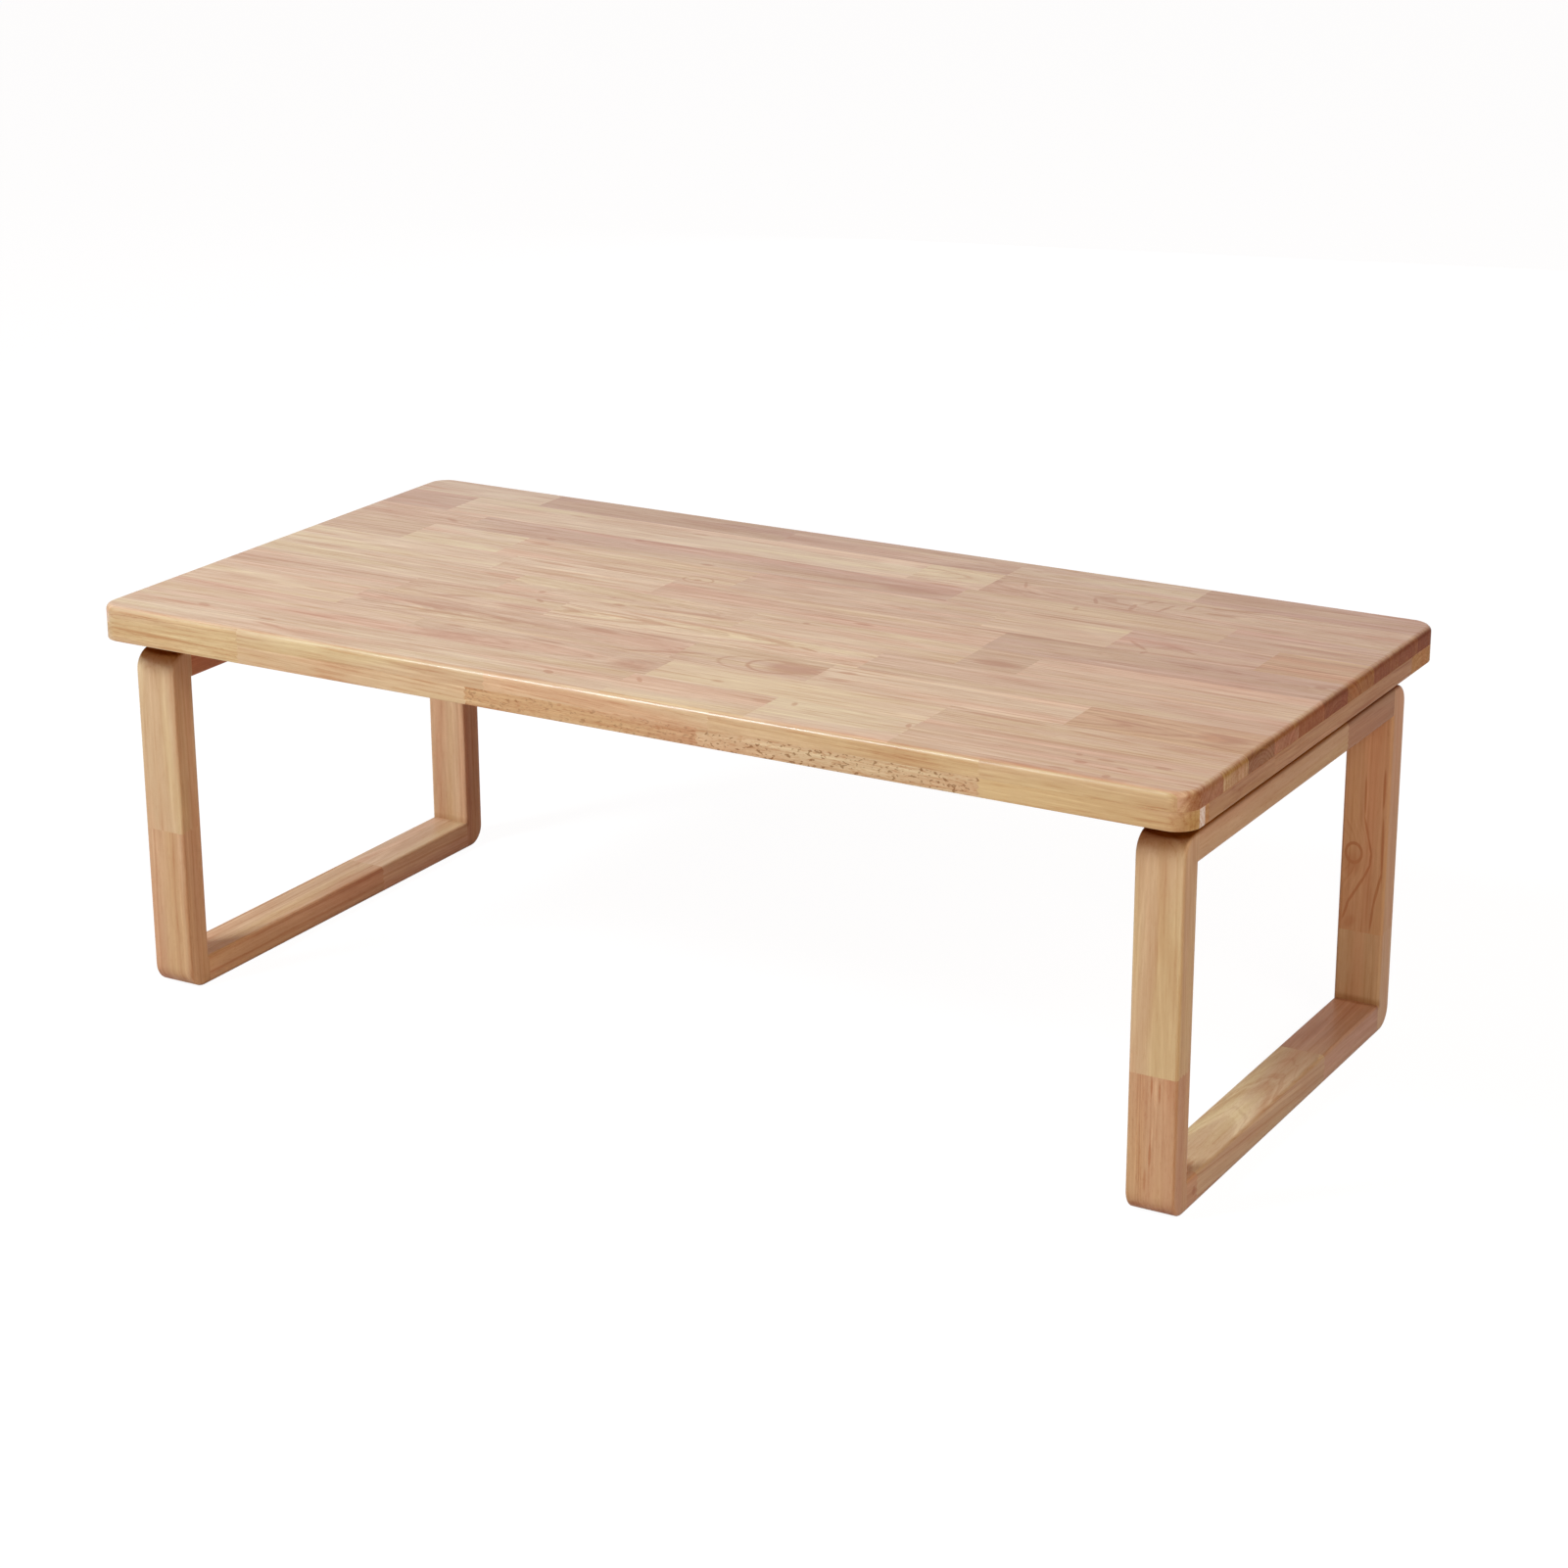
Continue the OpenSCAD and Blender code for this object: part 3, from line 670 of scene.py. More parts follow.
class Stave:
    """One length of a board, sawn from its own log."""

    def __init__(self, tone, cut, grade, middle, end=None):
        across, depth, lean_across, lean_depth = CUTS[cut]
        side = rng.choice((-1, 1))
        self.middle = middle
        shade = rng.uniform(*TONE_SPREAD)
        self.tone = (*[value * shade for value in linear(TONES[tone])], rng.random())
        self.trait = GRADES[grade]
        end_name, arris_dark = end or (rng.choice(UNSEEN_ENDS), UNSEEN_ARRIS_DARK)
        self.end_tone = (*END_TONES[end_name], arris_dark)
        self.across = side * across * rng.uniform(*ACROSS_SPREAD)
        self.depth = depth * rng.uniform(*DEPTH_SPREAD)
        self.lean_across = lean_across * rng.uniform(*LEAN_ACROSS_SPREAD)
        self.lean_depth = lean_depth * rng.uniform(*LEAN_DEPTH_SPREAD)
        self.start = rng.uniform(0, LOG_LENGTH)

    def log_place(self, point):
        """A point's place in the log, in mm: along it, then two distances from the pith."""
        along, across, depth = [(a - b) / MM for a, b in zip(point, self.middle)]
        return (
            self.start + along,
            across + self.across + self.lean_across * along,
            depth + self.depth + self.lean_depth * along,
        )


class Paint:
    """Writes the wood's attributes to a mesh's face corners."""

    def __init__(self, bm, axes):
        self.axes = axes
        self.log = bm.loops.layers.float_vector.new("log")
        self.tone = bm.loops.layers.float_color.new("tone")
        self.trait = bm.loops.layers.float_vector.new("trait")
        self.end_tone = bm.loops.layers.float_color.new("end_tone")

    def face(self, face, stave, arris_dark_at=None):
        for corner in face.loops:
            co = corner.vert.co
            corner[self.log] = stave.log_place([co[k] for k in self.axes])
            corner[self.tone] = stave.tone
            corner[self.end_tone] = stave.end_tone
            arris_dark = arris_dark_at(co) if arris_dark_at else 0.0
            corner[self.trait] = (*stave.trait, arris_dark)

    def row(self, faces, staves, begin, row_middle, end=None, arris_dark_at=None):
        """Paints a row's faces by the staves between its joints.

        begin is where the row starts, row_middle where it lies across and in depth, and end
        the look of its last end.
        """
        along = self.axes[0]
        for number, (stop, tone, sawn, grade) in enumerate(staves):
            first = number == 0
            last = number == len(staves) - 1
            middle = ((begin + stop) / 2, *row_middle)
            stave = Stave(tone, sawn, grade, middle, end if last else None)
            for face in faces:
                centre = face.calc_center_median()[along]
                if (first or begin < centre) and (last or centre < stop):
                    self.face(face, stave, arris_dark_at)
            begin = stop


def plan(low, high, radii, inset):
    """Outline of a rectangle, counter-clockwise from the front left corner, drawn in by inset."""
    points = []
    for k, radius in enumerate(radii):
        side_x = -1 if k in (0, 3) else 1
        side_y = -1 if k in (0, 1) else 1
        x = (low.x if side_x < 0 else high.x) - side_x * radius
        y = (low.y if side_y < 0 else high.y) - side_y * radius
        if radius == 0:
            points.append((x - side_x * inset, y - side_y * inset))
            continue
        for step in range(CORNER_STEPS + 1):
            angle = math.radians(180 + 90 * k + 90 * step / CORNER_STEPS)
            reach = radius - inset
            points.append((x + reach * math.cos(angle), y + reach * math.sin(angle)))
    return points


def loft(rings):
    """A closed solid through rings of points."""
    bm = bmesh.new()
    loops = [[bm.verts.new(point) for point in ring] for ring in rings]
    count = len(loops[0])
    for lower, upper in zip(loops, loops[1:]):
        for k in range(count):
            n = (k + 1) % count
            bm.faces.new((lower[k], lower[n], upper[n], upper[k]))
    bm.faces.new(list(reversed(loops[0])))
    bm.faces.new(loops[-1])
    return bm


def slab(low, high, radii, arris):
    """A board with rounded plan corners. arris is "top" for a quarter round above, or "bottom"."""
    levels = []
    if arris == "top":
        levels += [(low.z, SEAM_BEVEL), (low.z + SEAM_BEVEL, 0.0)]
        round_z = high.z - TOP_ARRIS
    else:
        knee = ARRIS_KNEE * LOWER_ARRIS
        levels += [(low.z, LOWER_ARRIS), (low.z + knee, knee), (low.z + LOWER_ARRIS, 0.0)]
        round_z = high.z - SEAM_BEVEL
    z = levels[-1][0] + FINGER_PITCH
    while z < round_z - FINGER_PITCH / 2:
        levels.append((z, 0.0))
        z += FINGER_PITCH
    levels.append((round_z, 0.0))
    if arris == "top":
        for step in range(1, ARRIS_STEPS + 1):
            angle = math.radians(90 * step / ARRIS_STEPS)
            levels.append((round_z + TOP_ARRIS * math.sin(angle), TOP_ARRIS * (1 - math.cos(angle))))
    else:
        levels.append((high.z, SEAM_BEVEL))
    return loft([[(x, y, z) for x, y in plan(low, high, radii, inset)] for z, inset in levels])


def cut(bm, faces, axis, value):
    """Cuts faces by the plane where the coordinate along axis has that value."""
    geometry = set(faces)
    for face in faces:
        geometry.update(face.edges)
        geometry.update(face.verts)
    point = Vector((0, 0, 0))
    point[axis] = value
    normal = Vector((0, 0, 0))
    normal[axis] = 1
    bmesh.ops.bisect_plane(bm, geom=list(geometry), dist=MERGE_DISTANCE,
                           plane_co=point, plane_no=normal)


def lay_rows(bm, rows, axes, low, high, ends=None, dark_arris=False, zones=()):
    """Cuts a board into rows of staves and paints them.

    A row is its span across the board and its staves. axes are the indices of the along,
    across and depth directions. ends are the looks of the rows' last ends. zones are the
    sides of rows where the material changes. All sizes are in metres.
    """
    along, across, depth = axes
    for (start, end), _ in rows:
        if end < high[across] - SEAM_BEVEL:
            cut(bm, list(bm.faces), across, end)

    def in_row(start, end):
        """Faces of a row. The outer rows hold the board's sides too."""
        start -= SEAM_BEVEL / 2 if start <= low[across] else 0
        end += SEAM_BEVEL / 2 if end >= high[across] else 0
        return [f for f in bm.faces if start < f.calc_center_median()[across] < end]

    for (start, end), staves in rows:
        for stop, *_ in staves[:-1]:
            cut(bm, in_row(start, end), along, stop)
    paint = Paint(bm, axes)

    def arris_dark_at(co):
        """How much darker the end arris is: most at the middle of its round."""
        rise = (co.z - (high.z - TOP_ARRIS)) / TOP_ARRIS
        if not dark_arris or rise < 0:
            return 0.0
        reach = high.x - abs(co.x)
        side = max(0.0, 1 - reach / CORNER_R) if abs(co.y) > high.y - CORNER_R else 1.0
        near_end = 1.0 if reach < TOP_ARRIS else side
        return near_end * max(0.0, 1 - rise ** 3) * min(1.0, ARRIS_DARK_FOOT + ARRIS_DARK_RISE * rise)

    for number, ((start, end), staves) in enumerate(rows):
        faces = in_row(start, end)
        for face in faces:
            face.material_index = sum(end <= border + SEAM_BEVEL for border in zones)
        row_middle = ((start + end) / 2, high[depth])
        paint.row(faces, staves, low[along], row_middle, ends[number] if ends else None, arris_dark_at)


def finger(bm, joints, sides, low_z, high_z):
    """Turns straight joints on a board's long sides into finger joints."""
    for vert in bm.verts:
        x, y, z = vert.co
        on_side = min(abs(y - side) for side in sides) <= ON_PLANE
        on_joint = min((abs(x - joint) for joint in joints), default=1) <= ON_PLANE
        if low_z < z < high_z and on_side and on_joint:
            step = round((z - low_z) / FINGER_PITCH)
            vert.co.x += FINGER_DEPTH * (1 if step % 2 else -1)


def in_metres(staves):
    """Staves with their ends in metres and their looks as separate words."""
    return [(end * MM, *look.split()) for end, look in staves]


def joints_of(rows):
    """Where staves meet end to end, in metres."""
    return [end * MM for staves in rows for end, _ in staves[:-1]]


def mesh_of(bm, name):
    bmesh.ops.recalc_face_normals(bm, faces=bm.faces)
    mesh = bpy.data.meshes.new(name)
    bm.to_mesh(mesh)
    bm.free()
    return mesh


def add_piece(name, bm, material, body, node):
    mesh = mesh_of(bm, name)
    mesh.materials.append(material)
    mesh.shade_smooth()
    mesh.set_sharp_from_angle(angle=SHARP_ANGLE)
    piece = new_object(name, mesh)
    normals = piece.modifiers.new("flat_faces_stay_flat", "WEIGHTED_NORMAL")
    normals.keep_sharp = True
    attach(piece, body)
    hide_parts(node)
    return piece


def make_top_panel(materials):
    low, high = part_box("top_panel")
    bm = slab(low, high, [CORNER_R] * 4, "top")
    outer = high.y - EDGE_STRIP
    spans = [outer] + [y * MM for y in TOP_ROW_SIDES] + [-outer]
    rows = [((spans[k + 1], spans[k]), in_metres(staves)) for k, staves in enumerate(TOP_ROWS)]
    rows.append(((outer, high.y), in_metres(REAR_EDGE)))
    rows.append(((low.y, -outer), in_metres(FRONT_EDGE)))
    ends = TOP_ENDS + EDGE_STRIP_ENDS
    lay_rows(bm, rows, X_FIRST, low, high, ends, dark_arris=True, zones=[y * MM for y in TOP_ZONES])
    finger(bm, joints_of([FRONT_EDGE, REAR_EDGE]), (low.y, high.y),
           low.z + 2 * SEAM_BEVEL, high.z - TOP_ARRIS - SEAM_BEVEL)
    panel = add_piece("edge_glued_panel", bm, materials[0], "tabletop", "top_panel")
    for material in materials[1:]:
        panel.data.materials.append(material)


def make_long_batten(node, name, rows, seams, ends, radii, material):
    low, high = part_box(node)
    bm = slab(low, high, radii, "bottom")
    sides = [low.y] + [seam * MM for seam in seams] + [high.y]
    spans = zip(sides, sides[1:])
    laid = [(span, in_metres(staves)) for span, staves in zip(spans, rows)]
    lay_rows(bm, laid, X_FIRST, low, high, [(end, 0.0) for end in ends])
    finger(bm, joints_of(rows), (low.y, high.y),
           low.z + LOWER_ARRIS + SEAM_BEVEL, high.z - 2 * SEAM_BEVEL)
    add_piece(name, bm, material, "tabletop", node)


def make_end_batten(side, material):
    node = f"{side}_end_batten"
    low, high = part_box(node)
    bm = slab(low, high, [0] * 4, "bottom")
    sign = -1 if side == "left" else 1
    rows = []
    inner = min(abs(low.x), abs(high.x))
    for reach, staves in END_BATTENS[side]:
        outer = reach * MM
        rows.append((tuple(sorted((sign * inner, sign * outer))), in_metres(staves)))
        inner = outer
    rows.sort()
    lay_rows(bm, rows, Y_FIRST, low, high)
    add_piece(f"{side}_end_batten_board", bm, material, "tabletop", node)


# Loop legs

class Loop:
    """A leg's closed loop in its own plane, centred at half height: sizes and outline."""

    def __init__(self, side):
        post_low, post_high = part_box(f"{side}_front_post")
        rail_low, rail_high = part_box(f"{side}_bottom_rail")
        stock = rail_high.z - rail_low.z
        self.x_middle = (post_low.x + post_high.x) / 2
        self.half_x = (post_high.x - post_low.x) / 2
        self.half_y = -post_low.y
        self.half_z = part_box(f"{side}_top_rail")[1].z / 2
        self.inner_y = self.half_y - stock
        self.inner_z = self.half_z - stock
        self.fingers = round((stock - 2 * LEG_ARRIS) / FINGER_PITCH)

    def depth_at(self, y, z, inset):
        """Distance from a point to the outer outline, shrunk by inset."""
        over_y = abs(y) - (self.half_y - LOOP_R)
        over_z = abs(z) - (self.half_z - LOOP_R)
        outside = math.hypot(max(over_y, 0), max(over_z, 0)) + min(max(over_y, over_z), 0)
        return LOOP_R - inset - outside

    def reach(self, start, direction, inset):
        """How far the outline, shrunk by inset, lies from a point along a direction."""
        distance = 0.0
        for _ in range(OUTLINE_TRIES):
            y = start[0] + direction[0] * distance
            z = start[1] + direction[1] * distance
            gap = self.depth_at(y, z, inset)
            distance += gap
            if abs(gap) < ON_OUTLINE:
                break
        return distance


def member_ring(loop, station):
    """Cross-section of a member at a station.

    A station is its inner point, the way out, and the direction of a finger joint's zigzag:
    0 for Y, 1 for Z, or None without a joint.
    """
    inner, way, zigzag = station
    spread = max(abs(way[0]), abs(way[1]))
    flat = loop.half_x - LEG_ARRIS
    arc = []
    for k in range(LEG_ARRIS_STEPS + 1):
        angle = math.radians(90 * k / LEG_ARRIS_STEPS)
        arc.append((flat + LEG_ARRIS * math.sin(angle), LEG_ARRIS * (1 - math.cos(angle))))
    right_half = [(u, "outer", inset) for u, inset in arc]
    right_half += [(loop.half_x, "wall", k / loop.fingers) for k in range(1, loop.fingers)]
    right_half += [(u, "inner", inset) for u, inset in reversed(arc)]
    left_half = [(-u, kind, t) for u, kind, t in reversed(right_half)]
    outer_wall = loop.reach(inner, way, LEG_ARRIS)
    inner_wall = LEG_ARRIS / spread
    ring = []
    for u, kind, t in right_half + left_half:
        step = 0
        if kind == "outer":
            distance = loop.reach(inner, way, t)
        elif kind == "inner":
            distance = t / spread
        else:
            distance = outer_wall + (inner_wall - outer_wall) * t
            step = round(t * loop.fingers)
        shift = [0.0, 0.0]
        if zigzag is not None:
            shift[zigzag] = FINGER_DEPTH * (1 if step % 2 else -1)
        ring.append((
            loop.x_middle + u,
            inner[0] + way[0] * distance + shift[0],
            inner[1] + way[1] * distance + shift[1] + loop.half_z,
        ))
    return ring


def straight_station(loop, way, place, zigzag=None):
    """A station square to a member, at a place along it."""
    if way[0]:
        inner = (way[0] * loop.inner_y, place)
    else:
        inner = (place, way[1] * loop.inner_z)
    return (inner, way, zigzag)


def corner_fan(loop, sign_y, sign_z):
    """Stations around an inner corner, from the rail's side to the post's side."""
    inner = (sign_y * loop.inner_y, sign_z * loop.inner_z)
    stations = []
    for k in range(CORNER_STEPS + 1):
        angle = math.radians(90 * k / CORNER_STEPS)
        stations.append((inner, (sign_y * math.sin(angle), sign_z * math.cos(angle)), None))
    return stations


def make_member(node, loop, stations, staves, axes, material, body):
    """A leg member: a loft through stations, painted by the staves between its joints."""
    bm = loft([member_ring(loop, station) for station in stations])
    bmesh.ops.remove_doubles(bm, verts=bm.verts, dist=MERGE_DISTANCE)
    low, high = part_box(node)
    middle = [(low[k] + high[k]) / 2 for k in axes]
    Paint(bm, axes).row(bm.faces, staves, low[axes[0]], middle[1:])
    add_piece(f"{node}_wood", bm, material, body, node)


def make_post(side, place, loop, material):
    node = f"{side}_{place}_post"
    sign = -1 if place == "front" else 1
    staves = in_metres(LEG_STAVES[node])
    straight = loop.inner_z - LOOP_R
    stations = corner_fan(loop, sign, -1)
    stations.append(straight_station(loop, (sign, 0), -straight))
    for stop, *_ in staves[:-1]:
        stations.append(straight_station(loop, (sign, 0), stop - loop.half_z, 1))
    stations.append(straight_station(loop, (sign, 0), straight))
    stations += reversed(corner_fan(loop, sign, 1))
    make_member(node, loop, stations, staves, Z_FIRST, material, f"{side}_leg")


def make_rail(side, place, loop, material):
    node = f"{side}_{place}_rail"
    sign = -1 if place == "bottom" else 1
    staves = in_metres(LEG_STAVES[node])
    stations = [straight_station(loop, (0, sign), -loop.inner_y)]
    for stop, *_ in staves[:-1]:
        stations.append(straight_station(loop, (0, sign), stop, 0))
    stations.append(straight_station(loop, (0, sign), loop.inner_y))
    make_member(node, loop, stations, staves, Y_FIRST, material, f"{side}_leg")


# Steel

# Turns per metre of the plating's patches
PATCHES = (160, 160, 160)
# Detail and roughness of the noises, and their values between which lines and patches grow
STEEL_NOISE = (3.0, 0.6)
LINE_TINT_LIMITS = (0.5, 0.8)
LINE_GLOSS_LIMITS = (0.3, 0.7)
PATCH_TINT_LIMITS = (0.42, 0.68)
PATCH_GLOSS_LIMITS = (0.4, 0.7)
# What lines and patches add to the colour, the roughness and the relief
LINE_SHADE = (0.8, 0.8, 0.8)
LINE_TINT = 0.5
LINE_ROUGHNESS = 0.07
PATCH_ROUGHNESS = 0.06
PLATING_RELIEF = 0.02 * MM
RELIEF_SHARE = 0.25
STAMPED_EDGE = 0.25 * MM
STAMPED = ("base_plate", "leg_plate", "leaf_spring")
# The steels of the frame's pieces by the ends of their names: the material's name, colour,
# roughness, turns per metre of the drawn lines, tint of the patches and their strength
STEELS = {
    "base_plate": ("zinc_plate", (0.66, 0.67, 0.68), 0.30, (60, 2200, 2200), (0.92, 0.88, 0.78), 0.35),
    "hinge_pin": ("turned_pin", (0.58, 0.58, 0.59), 0.24, (3000, 120, 3000), (0.9, 0.88, 0.84), 0.35),
    "leaf_spring": ("blued_spring", (0.16, 0.17, 0.20), 0.34, (80, 2600, 2600), (0.75, 0.62, 0.55), 0.7),
    "spring_rivets": ("rivet_steel", (0.55, 0.55, 0.56), 0.28, (900, 900, 900), (0.9, 0.87, 0.8), 0.35),
}
SCREW_STEEL = ("screw_zinc", (0.68, 0.68, 0.70), 0.26, (700, 700, 700), (0.92, 0.88, 0.78), 0.35)


def steel(name, color, roughness, line_scale, patch_tint, patch):
    """Plated steel: drawn lines, a patchy plating and a rolled, slightly uneven surface."""
    s = Shader(name)
    place = s.add("TexCoord").outputs["Object"]
    lines = s.noise(s.scaled(place, line_scale), *STEEL_NOISE)
    patches = s.noise(s.scaled(place, PATCHES), *STEEL_NOISE)
    base = s.tint(s.ramp(patches, *PATCH_TINT_LIMITS, 0.0, patch), (*color, 1.0), patch_tint)
    smooth = roughness - LINE_ROUGHNESS
    rough = roughness + LINE_ROUGHNESS
    return s.dress({
        "Base Color": s.tint(s.ramp(lines, *LINE_TINT_LIMITS, 0.0, LINE_TINT), base, LINE_SHADE),
        "Metallic": 1.0,
        "Roughness": s.total(s.ramp(lines, *LINE_GLOSS_LIMITS, smooth, rough),
                             s.ramp(patches, *PATCH_GLOSS_LIMITS, 0.0, PATCH_ROUGHNESS)),
        "Normal": s.bump(lines, RELIEF_SHARE, PLATING_RELIEF),
    })


def dress_steel():
    """Gives the brackets' frame pieces their metals and soft edges."""
    looks = {ending: steel(*values) for ending, values in STEELS.items()}
    looks["leg_plate"] = looks["base_plate"]
    for name, node in frame["nodes"].items():
        for ending, material in looks.items():
            if not name.endswith(ending):
                continue
            redress(node, material)
            if ending in STAMPED:
                bevel = node.modifiers.new("stamped_edge", "BEVEL")
                bevel.width = STAMPED_EDGE
                bevel.segments = 2
                bevel.limit_method = "ANGLE"


SCREW_HEAD_D = 7.5 * MM
SCREW_HEAD_T = 2.2 * MM
SCREW_DOME_H = 1.3 * MM
SCREW_CROWN_R = 0.12 * MM
SCREW_RIM = 0.15 * MM
SCREW_NECK = 2.5 * MM
SCREW_POINT = 3.2 * MM
SCREW_TIP_R = 0.1 * MM
SCREW_ROOT_R = 1.45 * MM
SCREW_THREAD_R = 1.98 * MM
SCREW_PITCH = 1.5 * MM
# Half of the thread's width, as a share of the pitch
THREAD_WIDTH = 0.28
SCREW_SIDES = 20
DOME_STEPS = 6
STEPS_PER_TURN = 6
RECESS_ARM = 2.1 * MM
RECESS_W = 0.95 * MM
RECESS_DEPTH = 1.5 * MM
RECESS_SPARE = 1 * MM
# Width of the recess at its mouth and at its floor, as shares
RECESS_TAPER = (1.1, 0.45)


def screw_body(length):
    """A domed pan head below z = 0 and a threaded shank that points up."""
    head_r = SCREW_HEAD_D / 2
    levels = []
    for k in range(DOME_STEPS + 1):
        angle = math.radians(90 * k / DOME_STEPS)
        radius = SCREW_CROWN_R + (head_r - SCREW_CROWN_R) * math.sin(angle)
        levels.append((radius, -SCREW_HEAD_T + SCREW_DOME_H * (1 - math.cos(angle))))
    levels += [(head_r, -SCREW_RIM), (head_r - SCREW_RIM, 0.0)]
    levels += [(SCREW_THREAD_R, 0.0), (SCREW_THREAD_R, SCREW_NECK)]
    rings = [([radius] * SCREW_SIDES, z) for radius, z in levels]
    threaded = length - SCREW_NECK
    count = int(threaded / SCREW_PITCH * STEPS_PER_TURN)
    for k in range(1, count + 1):
        z = SCREW_NECK + threaded * k / (count + 1)
        taper = min(1.0, (length - z) / SCREW_POINT)
        radii = []
        for j in range(SCREW_SIDES):
            phase = (z / SCREW_PITCH - j / SCREW_SIDES) % 1.0
            crest = max(0.0, 1 - abs(phase - 0.5) / THREAD_WIDTH)
            radii.append(taper * (SCREW_ROOT_R + (SCREW_THREAD_R - SCREW_ROOT_R) * crest))
        rings.append((radii, z))
    rings.append(([SCREW_TIP_R] * SCREW_SIDES, length))
    angles = [2 * math.pi * j / SCREW_SIDES for j in range(SCREW_SIDES)]
    return loft([
        [(r * math.cos(angle), r * math.sin(angle), z) for r, angle in zip(radii, angles)]
        for radii, z in rings
    ])


def recess_cutter():
    """The cross recess of a screw's head, as two crossed tapered blades."""
    low = -SCREW_HEAD_T - RECESS_SPARE
    high = -SCREW_HEAD_T + RECESS_DEPTH
    outline = []
    h = RECESS_W / 2
    for k in range(4):
        turn = Matrix.Rotation(math.pi / 2 * k, 2)
        for x, y in ((RECESS_ARM, -h), (RECESS_ARM, h), (h, h)):
            outline.append(turn @ Vector((x, y)))
    rings = []
    for z, share in zip((low, high), RECESS_TAPER):
        rings.append([(p.x * share, p.y * share, z) for p in outline])
    return loft(rings)


def subtract(mesh, cutter):
    """Cuts one closed mesh out of another and returns the result."""
    body = new_object("cut_body", mesh)
    tool = new_object("cut_tool", cutter)
    modifier = body.modifiers.new("cut", "BOOLEAN")
    modifier.operation = "DIFFERENCE"
    modifier.solver = "EXACT"
    modifier.object = tool
    bpy.context.view_layer.update()
    shown = body.evaluated_get(bpy.context.evaluated_depsgraph_get())
    result = bpy.data.meshes.new_from_object(shown)
    bpy.data.objects.remove(body)
    bpy.data.objects.remove(tool)
    return result


def islands(node):
    """The low and high corners of each separate solid of a node."""
    bm = bmesh.new()
    bm.from_mesh(node.data)
    bmesh.ops.remove_doubles(bm, verts=bm.verts, dist=MERGE_DISTANCE)
    seen = set()
    found = []
    for start in bm.verts:
        if start in seen:
            continue
        group = []
        stack = [start]
        seen.add(start)
        while stack:
            vert = stack.pop()
            group.append(vert.co.copy())
            for edge in vert.link_edges:
                other = edge.other_vert(vert)
                if other not in seen:
                    seen.add(other)
                    stack.append(other)
        low = Vector([min(co[k] for co in group) for k in range(3)])
        high = Vector([max(co[k] for co in group) for k in range(3)])
        found.append((low, high))
    bm.free()
    return found


def make_screws(material):
    """Replaces each group of plain screws by threaded pan heads with a cross recess."""
    sample_low, sample_high = islands(frame["nodes"]["left_front_base_screws"])[0]
    length = sample_high.z - sample_low.z - SCREW_HEAD_T
    template = subtract(mesh_of(screw_body(length), "screw"), mesh_of(recess_cutter(), "recess"))
    for name, node in frame["nodes"].items():
        if not name.endswith("_screws"):
            continue
        bm = bmesh.new()
        up = name.endswith("base_screws")
        for low, high in islands(node):
            middle = (low + high) / 2
            seat = low.z + SCREW_HEAD_T if up else high.z - SCREW_HEAD_T
            turn = Matrix.Rotation(rng.uniform(0, math.pi), 4, "Z")
            flip = Matrix.Identity(4) if up else Matrix.Rotation(math.pi, 4, "X")
            place = Matrix.Translation((middle.x, middle.y, seat)) @ flip @ turn
            copy = template.copy()
            copy.transform(place)
            bm.from_mesh(copy)
            bpy.data.meshes.remove(copy)
        add_piece(name.replace("_screws", "_wood_screws"), bm, material, node["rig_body"], name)
    bpy.data.meshes.remove(template)


DOWEL_TONE = (214, 184, 140)
DOWEL_SHADE = (0.78, 0.70, 0.60)
# The dowels' fibres: turns per metre, detail and roughness of the noise, its limits and relief
DOWEL_GRAIN = (900, 30, 900)
DOWEL_NOISE = (4.0, 0.6)
DOWEL_LIMITS = (0.4, 0.7)
DOWEL_RELIEF = (0.3, 0.05 * MM)
DOWEL_ROUGHNESS = 0.62


def dowel_wood():
    """Bare, fluted hardwood of the dowels."""
    s = Shader("dowel_beech")
    place = s.add("TexCoord").outputs["Object"]
    fibre = s.noise(s.scaled(place, DOWEL_GRAIN), *DOWEL_NOISE)
    tone = (*linear(DOWEL_TONE), 1.0)
    return s.dress({
        "Base Color": s.tint(s.ramp(fibre, *DOWEL_LIMITS), tone, DOWEL_SHADE),
        "Roughness": DOWEL_ROUGHNESS,
        "Normal": s.bump(fibre, *DOWEL_RELIEF),
    })


# Studio

def make_floor():
    bpy.ops.mesh.primitive_plane_add(size=FLOOR_SIZE, location=(0, 0, 0))
    floor = bpy.context.object
    floor.name = "pale_floor"
    s = Shader("pale_floor")
    glow = s.add("Emission", {"Color": WHITE, "Strength": FLOOR_GLOW})
    matte = s.add("BsdfDiffuse", {"Color": (*FLOOR_BOUNCE, 1.0)})
    grey = s.add("BsdfDiffuse", {"Color": FLOOR_GREY})
    pale = s.add("MixShader", {0: SHADOW_SHARE, 1: glow.outputs[0], 2: grey.outputs[0]})
    shown = s.add("MixShader", {0: s.studio_rays(), 1: matte.outputs[0], 2: pale.outputs[0]})
    # A camera under the floor looks through it.
    camera_ray = s.add("LightPath").outputs["Is Camera Ray"]
    below = s.math("MULTIPLY", camera_ray, s.add("NewGeometry").outputs["Backfacing"])
    clear = s.add("BsdfTransparent")
    both = s.add("MixShader", {0: below, 1: shown.outputs[0], 2: clear.outputs[0]})
    s.tree.nodes.remove(s.surface)
    s.feed(s.tree.nodes["Material Output"].inputs["Surface"], both.outputs[0])
    floor.data.materials.append(s.material)


